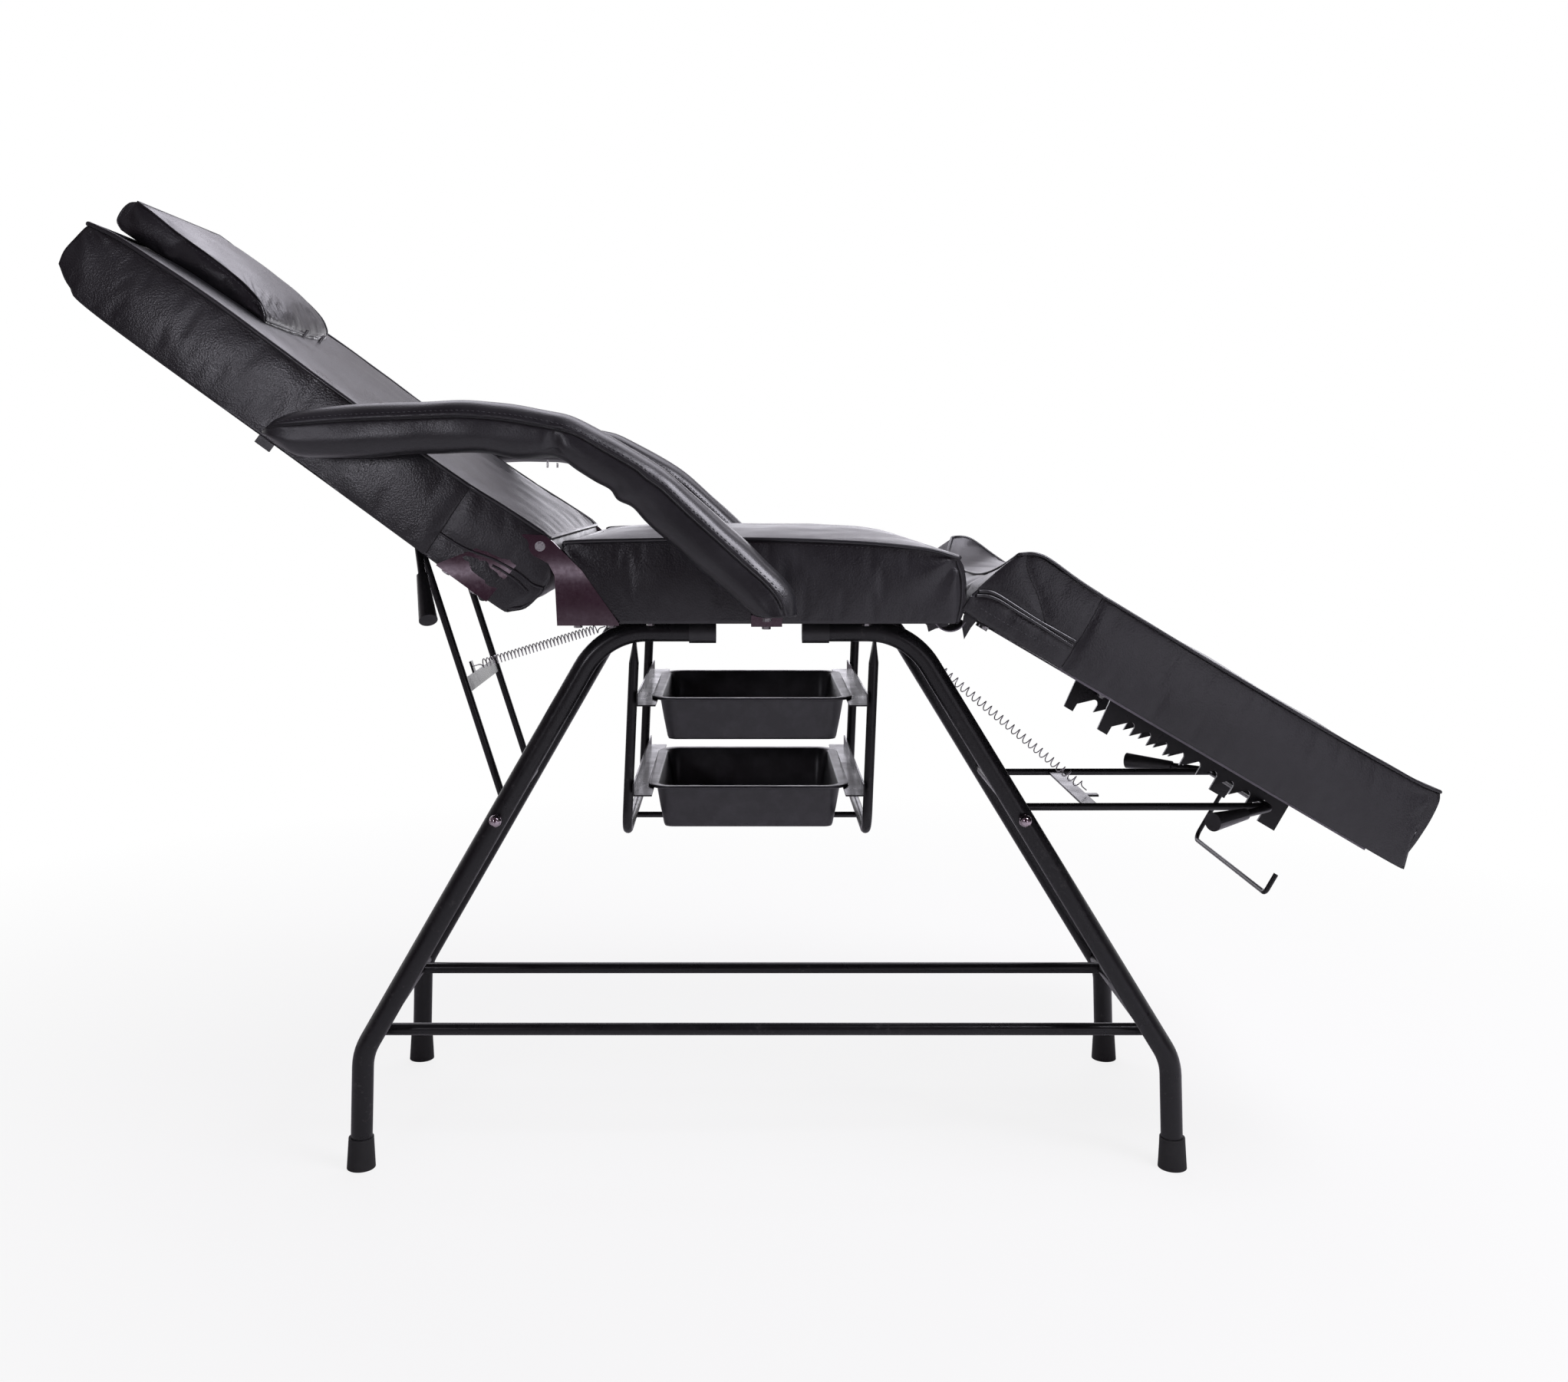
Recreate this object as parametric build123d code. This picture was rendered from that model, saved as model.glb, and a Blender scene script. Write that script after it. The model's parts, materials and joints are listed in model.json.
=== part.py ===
from build123d import *
import math
import os

# Reclining three-section treatment chair on four splayed tube legs.
# Millimetres, +Z up. The sitter faces +X, so the head end is at -X and the sitter's right side at -Y.
# All places are first written from the middle of the four feet and the floor; export moves the
# model along X by one worked-out shift, so that the origin ends up under the middle of its length.

# Upholstery
SEAT_WIDTH = 590.0
SEAT_LENGTH = 490.0
SEAT_REAR_X = -254.0
SEAT_SIDE_HEIGHT = 87.0
SEAT_CROWN = 14.0
SEAT_NOSE = 12.0
EDGE_ROUND = 12.0
BOARD_THICKNESS = 12.0
BOARD_INSET = 6.0
BOARD_SETBACK = 14.0
BACK_LENGTH = 688.0
BACK_THICKNESS = 100.0
BACK_CROWN = 2.0
LEG_REST_LENGTH = 617.0
LEG_REST_THICKNESS = 105.0
LEG_REST_CROWN = 8.0
EAR_SCOOP = 44.0
PILLOW_LENGTH = 264.0
PILLOW_WIDTH = 380.0
PILLOW_THICKNESS = 40.0
PILLOW_CROWN = 5.0
SOFT_GAP = 0.6

# Reclining
BACK_ANGLE = 36.0
LEG_REST_ANGLE = 30.5
BACK_PIVOT_X = -279.7
BACK_PIVOT_Z = 813.0
LEG_PIVOT_X = 246.0
LEG_PIVOT_Z = 730.0
BACK_PIVOT_ABOVE_BOARD = 92.0

# Tube frame
TUBE_DIAMETER = 28.0
TUBE_WALL = 1.5
LEG_SPREAD = 370.0
LEG_TOP_HEIGHT = 698.0
LEG_BEND = 95.0
KNEE_BEND = 70.0
FOOT_REACH = 528.5
KNEE_REACH = 526.0
HEAD_KNEE_HEIGHT = 148.5
FOOT_KNEE_HEIGHT = 138.5
HEAD_SHOULDER_REACH = 211.0
FOOT_SHOULDER_REACH = 185.0
HEAD_TUBE_END = 68.0
FOOT_TUBE_END = 48.0
CAP_LENGTH = 35.0
CAP_WALL = 2.0
FERRULE_HEIGHT = 39.0
FERRULE_FLOOR = 6.0
FERRULE_FOOT_DIAMETER = 37.0
FERRULE_TOP_DIAMETER = 32.5
CROSS_DIAMETER = 20.0
CROSS_HEIGHT = 158.0
STRETCHER_DIAMETER = 16.0
STRETCHER_SPACING = 254.0
RAIL_THICKNESS = 6.0
RAIL_WIDTH = 40.0
RAIL_OVERHANG = 45.0
HEAD_RAIL_X = -150.0
FOOT_RAIL_X = 128.0

# Racks and struts
PIVOT_HEIGHT = 455.0
PIVOT_ROD_DIAMETER = 10.0
ROD_DIAMETER = 10.0
ROD_SPACING = 244.0
SLEEVE_DIAMETER = 16.0
SLEEVE_CLEARANCE = 0.3
BACK_SEAT_ALONG = 150.0
LEG_SEAT_ALONG = 508.0
RACK_SPACING = 214.0
RACK_THICKNESS = 4.0
RACK_FLANGE = 20.0
NOTCH_PITCH = 26.0
NOTCH_ROOT = 14.0
NOTCH_CLEARANCE = 0.4
TOOTH_DEPTH = 33.0
RACK_HOOK_DEPTH = 46.0
RACK_END_DEPTH = 43.0
HOOK_WIDTH = 20.0
LEG_RACK_END = 26.0
BACK_RACK_TAB = 24.0
RAMP_ANGLE = 46.0
BACK_END_RAMP_ANGLE = 62.0
LEG_NOTCHES = 9
BACK_NOTCHES = 10
BACK_PLATE_SHARE = 0.456
LEG_PLATE_SHARE = 0.31
CROSS_PLATE_WIDTH = 20.0
CROSS_PLATE_THICKNESS = 3.0
HOOK_TAB_LENGTH = 16.0
HOOK_TAB_WIDTH = 12.0
HOOK_TAB_OFFSET = 45.0
HANDLE_BACK = 96.0
HANDLE_OUT = 78.0
HANDLE_BEND = 13.0
GRIP_LENGTH = 74.0
GRIP_END_DIAMETER = 24.0
GRIP_NECK_DIAMETER = 15.0

# Springs
SPRING_COIL = 13.0
SPRING_WIRE = 1.6
SPRING_TURNS = 32
SPRING_SAMPLES = 12
SPRING_LEAD = 13.0
ANCHOR_DIAMETER = 8.0
BACK_ANCHOR_X = -218.0
LEG_ANCHOR_X = 172.0
ANCHOR_HEIGHT = 692.0
ANCHOR_Y = -45.0

# Plates and hinges
PLATE_THICKNESS = 2.5
PLATE_FLANGE = 45.0
HINGE_PIN_DIAMETER = 10.0
PIN_CLEARANCE = 0.2
PIN_HEAD = 2.5
SEAT_PLATE_EYE = 14.0
BOLT_HEAD = 11.0
BOLT_HEAD_HEIGHT = 5.0
BOLT_WASHER = 15.0
BOLT_WASHER_HEIGHT = 1.2
LEAF_LENGTH = 60.0
LEAF_WIDTH = 55.0
LEAF_THICKNESS = 3.0
LEAF_SPACING = 360.0
KNUCKLE_DIAMETER = 12.0
LEG_PIN_DIAMETER = 6.0

# Armrests
ARM_WIDTH = 84.0
ARM_GAP = 7.0
ARM_THICKNESS = 63.0
ARM_TOP_HEIGHT = 988.0
ARM_REAR_REACH = 600.0
ARM_FRONT_REACH = 34.0
ARM_FOOT_HEIGHT = 732.0
ARM_EDGE = 17.0
ARM_STRAP_WIDTH = 38.0
ARM_STRAP_THICKNESS = 4.0
ARM_STRAP_X = -2.0
ARM_PIN_DIAMETER = 2.5
ARM_PIN_SPACING = 12.0

# Tray rack
TRAY_MIDDLE_X = -15.0
TRAY_FRAME_SPACING = 316.0
TRAY_FRAME_TUBE = 13.0
TRAY_FRAME_DEPTH = 326.0
TRAY_FRAME_LOW = 430.0
TRAY_FRAME_BEND = 28.0
TRAY_EAR_THICKNESS = 4.0
TRAY_EAR_HEIGHT = 30.0
TRAY_BLADE_WIDTH = 15.6
TRAY_TUBE_WALL = 1.5
TRAY_LEAN = 11.0
TRAY_RAIL_LENGTH = 380.0
TRAY_RAIL_HEIGHT = 14.0
TRAY_RAIL_SHELF = 25.0
TRAY_RAIL_THICKNESS = 2.0
TRAY_UPPER_HEIGHT = 602.0
TRAY_LOWER_HEIGHT = 485.0
TRAY_WIDTH = 268.0
TRAY_LENGTH = 306.0
TRAY_DEPTH = 58.0
TRAY_TAPER = 21.0
TRAY_RIM = 11.0
TRAY_WALL = 2.5
TRAY_CORNER = 22.0
TRAY_SLIDE_GAP = 0.4
TIE_BAR_DIAMETER = 8.0
TIE_BAR_DROP = 5.6

# Roll holder under the leg rest
HOLDER_WIRE = 6.5
HOLDER_SETBACK = 67.0
HOLDER_Y = 150.0
HOLDER_BUSH_DIAMETER = 19.0
HOLDER_BUSH_LENGTH = 38.0
HOLDER_DROP = 81.0
HOLDER_REACH = 306.0
HOLDER_TIP = 29.0
HOLDER_BEND = 14.0
SOCKET_ALONG = 176.0

# Small parts
PILLOW_PIN_DIAMETER = 5.0
PILLOW_PIN_SPACING = 80.0
PILLOW_PIN_HOLE = 6.2
PILLOW_PIN_LENGTH = 58.0
ACORN_ACROSS = 17.0
ACORN_HEIGHT = 16.0
FLAP_THICKNESS = 1.6
OVERRUN = 60.0

# Shares that shape the soft outlines
SEAT_TAIL_SHARE = 0.3
LOBE_SHARES = (0.22, 0.2, 0.6, 0.9)
EAR_SHARES = (0.3, 0.7, 0.25)
PILLOW_SHARES = (0.22, 0.85, 0.12, 0.45, 0.35, 0.35)
ARM_SHARES = (0.78, 0.25, 0.3, 0.22)
PLATE_BOLT_SHARES = (0.3, 0.85)
BUSH_SHARE = 0.8

# More places on the soft parts and plates
BACK_BOARD_LENGTH = 586.0
BACK_HEAD_LOW = 30.0
BACK_HEAD_DROP = 8.0
BACK_LOBE = 34.0
LEG_REST_OVERHANG = 1.0
EAR_LENGTH = 120.0
EAR_ROUND = 10.0
PILLOW_LIFT = 4.0
PILLOW_OVERHANG = 32.0
PILLOW_HEAD_DROP = 10.1
PILLOW_PIN_SETBACK = 7.0
PILLOW_PIN_TOP = 26.0
ARM_SLOPE = 39.0
ARM_BEND = 230.0
ARM_STRAP_INNER = 70.0
ARM_PIN_REACH = 268.0
ARM_PIN_SHOWN = 16.0
PLATE_GAP = 0.4
PLATE_TAIL = 5.0
PLATE_FOOT_LENGTH = 76.0

# Side outlines of the hinge plates, measured from the hinge pin
SEAT_PLATE_SLANT = [(2.0, 13.8), (9.0, 10.7), (16.1, 5.0), (51.1, -30.0)]
SEAT_PLATE_NECK = [(17.5, -36.0), (13.5, -28.0), (9.5, -21.0), (-6.6, -12.3), (-12.0, 0.0)]
BACK_PLATE_TOP = [(-4.0, 12.0), (7.0, 11.5), (25.0, 0.0), (55.0, -37.0)]
BACK_PLATE_NECK = [(9.0, -21.0), (-3.0, -12.5)]
BACK_PLATE_END = 90.0
TIE_BAR_Y = -30.0
SOCKET_Y = -76.0
FLAP_DROP = 12.0
FLAP_START = 30.0
FLAP_REACH = 9.0
FLAP_INNER = 147.0
FLAP_OUTER = 213.0
FLAP_EDGE = 283.0

# Worked out
HALF = 0.5
TUBE_RADIUS = TUBE_DIAMETER * HALF
LEG_Y = LEG_SPREAD * HALF
BOARD_LOW = LEG_TOP_HEIGHT + TUBE_RADIUS + RAIL_THICKNESS
BOARD_TOP = BOARD_LOW + BOARD_THICKNESS
SEAT_FRONT_X = SEAT_REAR_X + SEAT_LENGTH
HALF_WIDTH = SEAT_WIDTH * HALF
BACK_PITCH = math.radians(BACK_ANGLE)
LEG_PITCH = math.radians(LEG_REST_ANGLE)
BAR_BELOW_BOARD = NOTCH_ROOT + ROD_DIAMETER * HALF + NOTCH_CLEARANCE


def back_plane():
    """Frame of the back: x towards the head, z out of the cushion, origin on the hinge line."""
    along = (-math.cos(BACK_PITCH), 0, math.sin(BACK_PITCH))
    out = (math.sin(BACK_PITCH), 0, math.cos(BACK_PITCH))
    return Plane(origin=(BACK_PIVOT_X, 0, BACK_PIVOT_Z), x_dir=along, z_dir=out)


def leg_rest_plane():
    """Frame of the leg rest: x towards the feet, z out of the cushion, origin on the hinge line."""
    along = (math.cos(LEG_PITCH), 0, -math.sin(LEG_PITCH))
    out = (math.sin(LEG_PITCH), 0, math.cos(LEG_PITCH))
    return Plane(origin=(LEG_PIVOT_X, 0, LEG_PIVOT_Z), x_dir=along, z_dir=out)


def place(plane, shape):
    return shape.moved(plane.location)


def spot(plane, along, across, out):
    """World point of a place in one of the tilted frames."""
    return plane.from_local_coords((along, across, out))


def side_plane(y):
    """Plane across the chair at y: its own x is X and its own y is Z."""
    return Plane(origin=(0, y, 0), x_dir=(1, 0, 0), z_dir=(0, -1, 0))


def side_slab(outline, y_low, y_high):
    """An outline of (x, z) points, made solid from y_low to y_high."""
    face = make_face(Polyline(*outline, close=True))
    return extrude(side_plane(y_low) * face, amount=y_high - y_low, dir=(0, 1, 0))


def block(x_low, x_high, y_low, y_high, z_low, z_high):
    size = (x_high - x_low, y_high - y_low, z_high - z_low)
    low_corner = Align.MIN
    return Pos(x_low, y_low, z_low) * Box(*size, align=(low_corner, low_corner, low_corner))


def rod(start, end, diameter):
    """Round bar between two points."""
    axis = Vector(*end) - Vector(*start)
    foot = (Align.CENTER, Align.CENTER, Align.MIN)
    bar = Cylinder(diameter * HALF, axis.length, align=foot)
    return bar.moved(Plane(origin=start, z_dir=axis).location)


def bent_path(points, bends):
    if len(points) == 2:
        return Line(*points)
    return FilletPolyline(*points, radius=bends)


def bent_rod(points, bends, diameter, wall=0):
    """Round bar or tube along straight runs joined by tangent arcs."""
    path = bent_path(points, bends)
    start = Vector(*points[0])
    section = Circle(diameter * HALF)
    if wall:
        section = section - Circle(diameter * HALF - wall)
    return sweep(Plane(origin=start, z_dir=Vector(*points[1]) - start) * section, path=path)


def both_sides(shape):
    """The shape and its mirror image across the chair."""
    return [shape, mirror(shape, about=Plane.XZ)]


def bolt(position, direction):
    """What shows of a hexagon bolt: a washer on the face and the head on it."""
    foot = (Align.CENTER, Align.CENTER, Align.MIN)
    washer = Cylinder(BOLT_WASHER * HALF, BOLT_WASHER_HEIGHT, align=foot)
    head = extrude(RegularPolygon(BOLT_HEAD * HALF, 6), amount=BOLT_HEAD_HEIGHT)
    return (head + washer).moved(Plane(origin=position, z_dir=direction).location)


def shift_to_middle():
    """How far the model moves along X so that the middle of its length is the origin."""
    head_end = BACK_PIVOT_X - BACK_LENGTH * math.cos(BACK_PITCH)
    head_end += (BACK_HEAD_LOW - BACK_PIVOT_ABOVE_BOARD) * math.sin(BACK_PITCH)
    foot_end = LEG_PIVOT_X + LEG_REST_LENGTH * math.cos(LEG_PITCH)
    foot_end += LEG_REST_THICKNESS * math.sin(LEG_PITCH)
    return -(head_end + foot_end) * HALF


# Upholstery

SECTION_SHARES = (-0.97, -0.5, 0.0, 0.5, 0.97)


def lofted_across(profile, half_width):
    """A soft body: side outlines joined smoothly across its width, with drawn-in sides."""

    def section(share, inset):
        return side_plane(share * half_width) * make_face(Curve() + profile(share, inset))

    body = loft([section(share, 0) for share in SECTION_SHARES])
    for side in (-1, 1):
        body = body + loft([section(SECTION_SHARES[-1] * side, 0), section(side, EDGE_ROUND * HALF)])
    return body


def seat_profile(share, inset):
    """Side outline of the seat cushion: flat on its board, a round nose, a crowned top."""
    low = BOARD_TOP
    top = low + SEAT_SIDE_HEIGHT - inset
    rear = SEAT_REAR_X + inset
    front = SEAT_FRONT_X - inset
    rear_low = (rear, low)
    front_low = (front, low)
    front_top = (front - EDGE_ROUND * HALF, top)
    rear_top = (rear + EDGE_ROUND * HALF, top)
    nose = (front + SEAT_NOSE * HALF, (low + top) * HALF)
    tail = (rear - SEAT_NOSE * SEAT_TAIL_SHARE, (low + top) * HALF)
    crown = ((rear + front) * HALF, top + EDGE_ROUND * HALF + SEAT_CROWN * (1 - share ** 2))
    return [
        Line(rear_low, front_low),
        ThreePointArc(front_low, nose, front_top),
        ThreePointArc(front_top, crown, rear_top),
        ThreePointArc(rear_top, tail, rear_low),
    ]


def back_profile(share, inset):
    """Side outline of the back cushion: a lobe at the hinge, a long top and a round head end."""
    low = BOARD_THICKNESS - BACK_PIVOT_ABOVE_BOARD
    skirt = low - BOARD_THICKNESS + inset * HALF
    top = BACK_THICKNESS - BACK_PIVOT_ABOVE_BOARD - inset
    head = BACK_LENGTH - inset
    board_end = BACK_BOARD_LENGTH + BOARD_SETBACK + SOFT_GAP
    heel = (-BACK_LOBE + inset, top - BACK_THICKNESS * HALF)
    heel_low = (BOARD_SETBACK - SOFT_GAP, skirt)
    hinge_top = (-BACK_LOBE * LOBE_SHARES[0] + inset, top + BACK_LOBE * LOBE_SHARES[1])
    hinge_face = (-BACK_LOBE * LOBE_SHARES[2] + inset, top - BACK_LOBE * HALF)
    heel_side = (-BACK_LOBE * LOBE_SHARES[3] + inset, skirt + BACK_LOBE * HALF)
    head_low = (head, BACK_HEAD_LOW - BACK_PIVOT_ABOVE_BOARD)
    head_under = (head - BACK_HEAD_LOW * HALF, skirt + EDGE_ROUND * HALF)
    head_top = (head - EDGE_ROUND * HALF, top - BACK_HEAD_DROP)
    crown = (head * HALF, top + EDGE_ROUND * LOBE_SHARES[1] + BACK_CROWN * (1 - share ** 2))
    return [
        Line((BOARD_SETBACK - SOFT_GAP, low), (board_end, low)),
        Line((board_end, low), (board_end, skirt)),
        ThreePointArc((board_end, skirt), head_under, head_low),
        Line(head_low, head_top),
        ThreePointArc(head_top, crown, hinge_top),
        ThreePointArc(hinge_top, hinge_face, heel),
        ThreePointArc(heel, heel_side, heel_low),
        Line(heel_low, (BOARD_SETBACK - SOFT_GAP, low)),
    ]


def leg_rest_profile(share, inset):
    """Side outline of the leg rest: two raised ears with a scoop between them at the seat."""
    scoop = 1 - share ** 4
    low = BOARD_THICKNESS
    top = LEG_REST_THICKNESS - inset
    far = LEG_REST_LENGTH - inset
    near = inset - LEG_REST_OVERHANG
    board_end = LEG_REST_LENGTH - BOARD_SETBACK + SOFT_GAP
    ear_end = (EAR_LENGTH * EAR_SHARES[0] + inset, top - EAR_ROUND - EAR_SCOOP * scoop)
    ear_top = (EAR_LENGTH * HALF, top - EAR_SCOOP * EAR_SHARES[1] * scoop)
    plain_top = (EAR_LENGTH, top)
    crown = (far * HALF, top + EDGE_ROUND * LOBE_SHARES[1] + LEG_REST_CROWN * (1 - share ** 2))
    far_top = (far, top - EDGE_ROUND)
    far_low = (far, low + EDGE_ROUND)
    far_mid = far - EDGE_ROUND * EAR_SHARES[0]
    ear_face = (near + inset + EAR_ROUND * EAR_SHARES[2], EAR_SCOOP)
    return [
        Line((near + EDGE_ROUND, low), (board_end, low)),
        ThreePointArc((board_end, low), (far_mid, low + inset * HALF + SOFT_GAP), far_low),
        Line(far_low, far_top),
        ThreePointArc(far_top, (far_mid, top - inset * HALF), (far - EDGE_ROUND, top)),
        ThreePointArc((far - EDGE_ROUND, top), crown, plain_top),
        ThreePointArc(plain_top, ear_top, ear_end),
        ThreePointArc(ear_end, ear_face, (near, EAR_SCOOP * HALF)),
        Line((near, EAR_SCOOP * HALF), (near + EDGE_ROUND, low)),
    ]


def pillow_profile(share, inset):
    """Side outline of the head pillow: it rests at the head end and lifts towards the hinge."""
    crown = PILLOW_CROWN * (1 - share ** 2)
    low = BACK_THICKNESS - BACK_PIVOT_ABOVE_BOARD + inset
    head = BACK_LENGTH + PILLOW_OVERHANG - inset
    front = BACK_LENGTH + PILLOW_OVERHANG - PILLOW_LENGTH + inset
    thick = PILLOW_THICKNESS - inset
    front_low = (front, low + thick * HALF)
    rest_front = (front + PILLOW_LENGTH * PILLOW_SHARES[0], low + PILLOW_LIFT)
    rest_head = (head - EDGE_ROUND * HALF, low - PILLOW_HEAD_DROP)
    head_top = (head - EDGE_ROUND * HALF * HALF, low + thick * PILLOW_SHARES[1])
    front_top = (front + PILLOW_LENGTH * PILLOW_SHARES[2], low + thick)
    front_mid = (front + EDGE_ROUND * PILLOW_SHARES[4], low + thick * PILLOW_SHARES[1])
    return [
        Line(rest_front, rest_head),
        ThreePointArc(rest_head, (head, low + thick * PILLOW_SHARES[3]), head_top),
        ThreePointArc(head_top, ((head + front) * HALF, low + thick + crown), front_top),
        ThreePointArc(front_top, front_mid, front_low),
        ThreePointArc(front_low, (front + EDGE_ROUND, low + thick * PILLOW_SHARES[5]), rest_front),
    ]


def seat_cushion():
    return lofted_across(seat_profile, HALF_WIDTH)


def back_cushion():
    """The back's cushion, with the holes that the pillow's pins go into."""
    body = place(back_plane(), lofted_across(back_profile, HALF_WIDTH))
    for along, across in pillow_pin_places():
        deep = spot(back_plane(), along, across, -PILLOW_PIN_LENGTH)
        high = spot(back_plane(), along, across, BACK_THICKNESS)
        body = body - rod(deep, high, PILLOW_PIN_HOLE)
    return body


def leg_rest_cushion():
    return place(leg_rest_plane(), lofted_across(leg_rest_profile, HALF_WIDTH))


def pillow_pin_places():
    """Where the pillow's two pins stand, as distances along and across the back."""
    along = BACK_LENGTH + PILLOW_OVERHANG - PILLOW_LENGTH + PILLOW_PIN_SETBACK
    return [(along, side * PILLOW_PIN_SPACING * HALF) for side in (-1, 1)]


def pillow():
    return place(back_plane(), lofted_across(pillow_profile, PILLOW_WIDTH * HALF))


def pillow_pins():
    """Thin steel pins between the pillow's underside and the holes in the back."""
    top = BACK_THICKNESS - BACK_PIVOT_ABOVE_BOARD + PILLOW_PIN_TOP
    pins = []
    for along, across in pillow_pin_places():
        low = spot(back_plane(), along, across, top - PILLOW_PIN_LENGTH)
        high = spot(back_plane(), along, across, top)
        pins.append(rod(low, high, PILLOW_PIN_DIAMETER) - pillow())
    return pins


def seat_board():
    half = HALF_WIDTH - BOARD_INSET
    return block(SEAT_REAR_X + BOARD_INSET, SEAT_FRONT_X - BOARD_INSET, -half, half, BOARD_LOW, BOARD_TOP)


def back_board():
    half = HALF_WIDTH - BOARD_INSET
    low = -BACK_PIVOT_ABOVE_BOARD
    end = BOARD_SETBACK + BACK_BOARD_LENGTH
    return place(back_plane(), block(BOARD_SETBACK, end, -half, half, low, low + BOARD_THICKNESS))


def leg_rest_board():
    half = HALF_WIDTH - BOARD_INSET
    end = LEG_REST_LENGTH - BOARD_SETBACK
    return place(leg_rest_plane(), block(BOARD_SETBACK, end, -half, half, 0, BOARD_THICKNESS))


def armrest(side):
    """Padded arm: level over the hinge, then one long slope down to its foot beside the seat."""
    inner = HALF_WIDTH + ARM_GAP
    low_height = ARM_TOP_HEIGHT - ARM_THICKNESS
    slope = math.tan(math.radians(ARM_SLOPE))
    top_end = ARM_FRONT_REACH - ARM_THICKNESS * HALF
    top_corner = top_end - (ARM_TOP_HEIGHT - ARM_FOOT_HEIGHT - ARM_THICKNESS) / slope
    low_end = ARM_FRONT_REACH - ARM_THICKNESS * ARM_SHARES[0]
    low_corner = low_end - (low_height - ARM_FOOT_HEIGHT) / slope
    tip = (-ARM_REAR_REACH, low_height + ARM_THICKNESS * HALF)
    top = FilletPolyline(
        tip,
        (-ARM_REAR_REACH + ARM_THICKNESS, ARM_TOP_HEIGHT - ARM_EDGE * HALF * HALF),
        (top_corner, ARM_TOP_HEIGHT),
        (top_end, ARM_FOOT_HEIGHT + ARM_THICKNESS),
        (ARM_FRONT_REACH, ARM_FOOT_HEIGHT),
        radius=[ARM_THICKNESS, ARM_BEND, ARM_EDGE],
    )
    low = FilletPolyline(
        (low_end, ARM_FOOT_HEIGHT),
        (low_corner, low_height),
        (-ARM_REAR_REACH + ARM_THICKNESS, low_height - ARM_EDGE * HALF * HALF),
        tip,
        radius=[ARM_BEND - ARM_THICKNESS, ARM_THICKNESS * HALF],
    )
    foot = Line((ARM_FRONT_REACH, ARM_FOOT_HEIGHT), (low_end, ARM_FOOT_HEIGHT))
    face = make_face(Curve() + [top, foot, low])
    pad = extrude(side_plane(inner) * face, amount=ARM_WIDTH, dir=(0, 1, 0))
    long_edges = [edge for edge in pad.edges() if not on_arm_foot(edge)]
    pad = fillet(long_edges, ARM_EDGE)
    return pad if side > 0 else mirror(pad, about=Plane.XZ)


def on_arm_foot(edge):
    """True for the cross edges and for the edges of the flat foot, which stay sharp."""
    centre = edge.center()
    box = edge.bounding_box()
    crosses = box.max.Y - box.min.Y > ARM_WIDTH * HALF
    return crosses or centre.Z < ARM_FOOT_HEIGHT + SOFT_GAP


def armrest_straps():
    """Bent steel straps that run from under the seat board out and up under each armrest."""
    low = BOARD_LOW - ARM_STRAP_THICKNESS
    high = ARM_FOOT_HEIGHT - ARM_STRAP_THICKNESS
    inner = HALF_WIDTH - ARM_STRAP_INNER
    wall = HALF_WIDTH + SOFT_GAP
    outer = HALF_WIDTH + ARM_GAP + ARM_WIDTH * HALF
    start = ARM_STRAP_X - ARM_STRAP_WIDTH * HALF
    outline = [
        (inner, low), (wall + ARM_STRAP_THICKNESS, low), (wall + ARM_STRAP_THICKNESS, high),
        (outer, high), (outer, high + ARM_STRAP_THICKNESS), (wall, high + ARM_STRAP_THICKNESS),
        (wall, low + ARM_STRAP_THICKNESS), (inner, low + ARM_STRAP_THICKNESS),
    ]
    across = Plane(origin=(start, 0, 0), x_dir=(0, 1, 0), z_dir=(1, 0, 0))
    strap = extrude(across * make_face(Polyline(*outline, close=True)), amount=ARM_STRAP_WIDTH)
    return both_sides(strap)


def armrest_bolts():
    """Two bolts up through each strap into the seat board, and one into the armrest."""
    down = (0, 0, -1)
    low = BOARD_LOW - ARM_STRAP_THICKNESS
    bolts = []
    for back in (ARM_STRAP_INNER * ARM_SHARES[1], ARM_STRAP_INNER * HALF):
        bolts += both_sides(bolt((ARM_STRAP_X, HALF_WIDTH - back, low), down))
    arm_y = HALF_WIDTH + ARM_GAP + ARM_WIDTH * ARM_SHARES[2]
    arm = (ARM_STRAP_X, arm_y, ARM_FOOT_HEIGHT - ARM_STRAP_THICKNESS)
    bolts += both_sides(bolt(arm, down))
    return bolts


def armrest_pins():
    """Two thin pins that stand out of the underside of each armrest near its bend."""
    across = HALF_WIDTH + ARM_GAP + ARM_WIDTH * ARM_SHARES[3]
    high = ARM_TOP_HEIGHT - ARM_THICKNESS
    arm = armrest(1)
    pins = []
    for step in (0, ARM_PIN_SPACING):
        x = -ARM_PIN_REACH + step
        pins += both_sides(rod((x, across, high - ARM_PIN_SHOWN), (x, across, high), ARM_PIN_DIAMETER) - arm)
    return pins


# Tube frame

def leg_points(end):
    """Centre line of one leg from its foot to its end under the seat; end is -1 head, 1 feet."""
    knee_height = HEAD_KNEE_HEIGHT if end < 0 else FOOT_KNEE_HEIGHT
    shoulder = HEAD_SHOULDER_REACH if end < 0 else FOOT_SHOULDER_REACH
    tube_end = HEAD_TUBE_END if end < 0 else FOOT_TUBE_END
    return [
        (end * FOOT_REACH, FERRULE_FLOOR),
        (end * KNEE_REACH, knee_height),
        (end * shoulder, LEG_TOP_HEIGHT),
        (end * tube_end, LEG_TOP_HEIGHT),
    ]


def leg_tube(end, side, wall=TUBE_WALL):
    """One bent leg; without a wall it is the full round, to notch what is welded to it."""
    points = [(x, side * LEG_Y, z) for x, z in leg_points(end)]
    tube = bent_rod(points, [KNEE_BEND, LEG_BEND], TUBE_DIAMETER, wall)
    return tube - pivot_rod(end)


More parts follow.
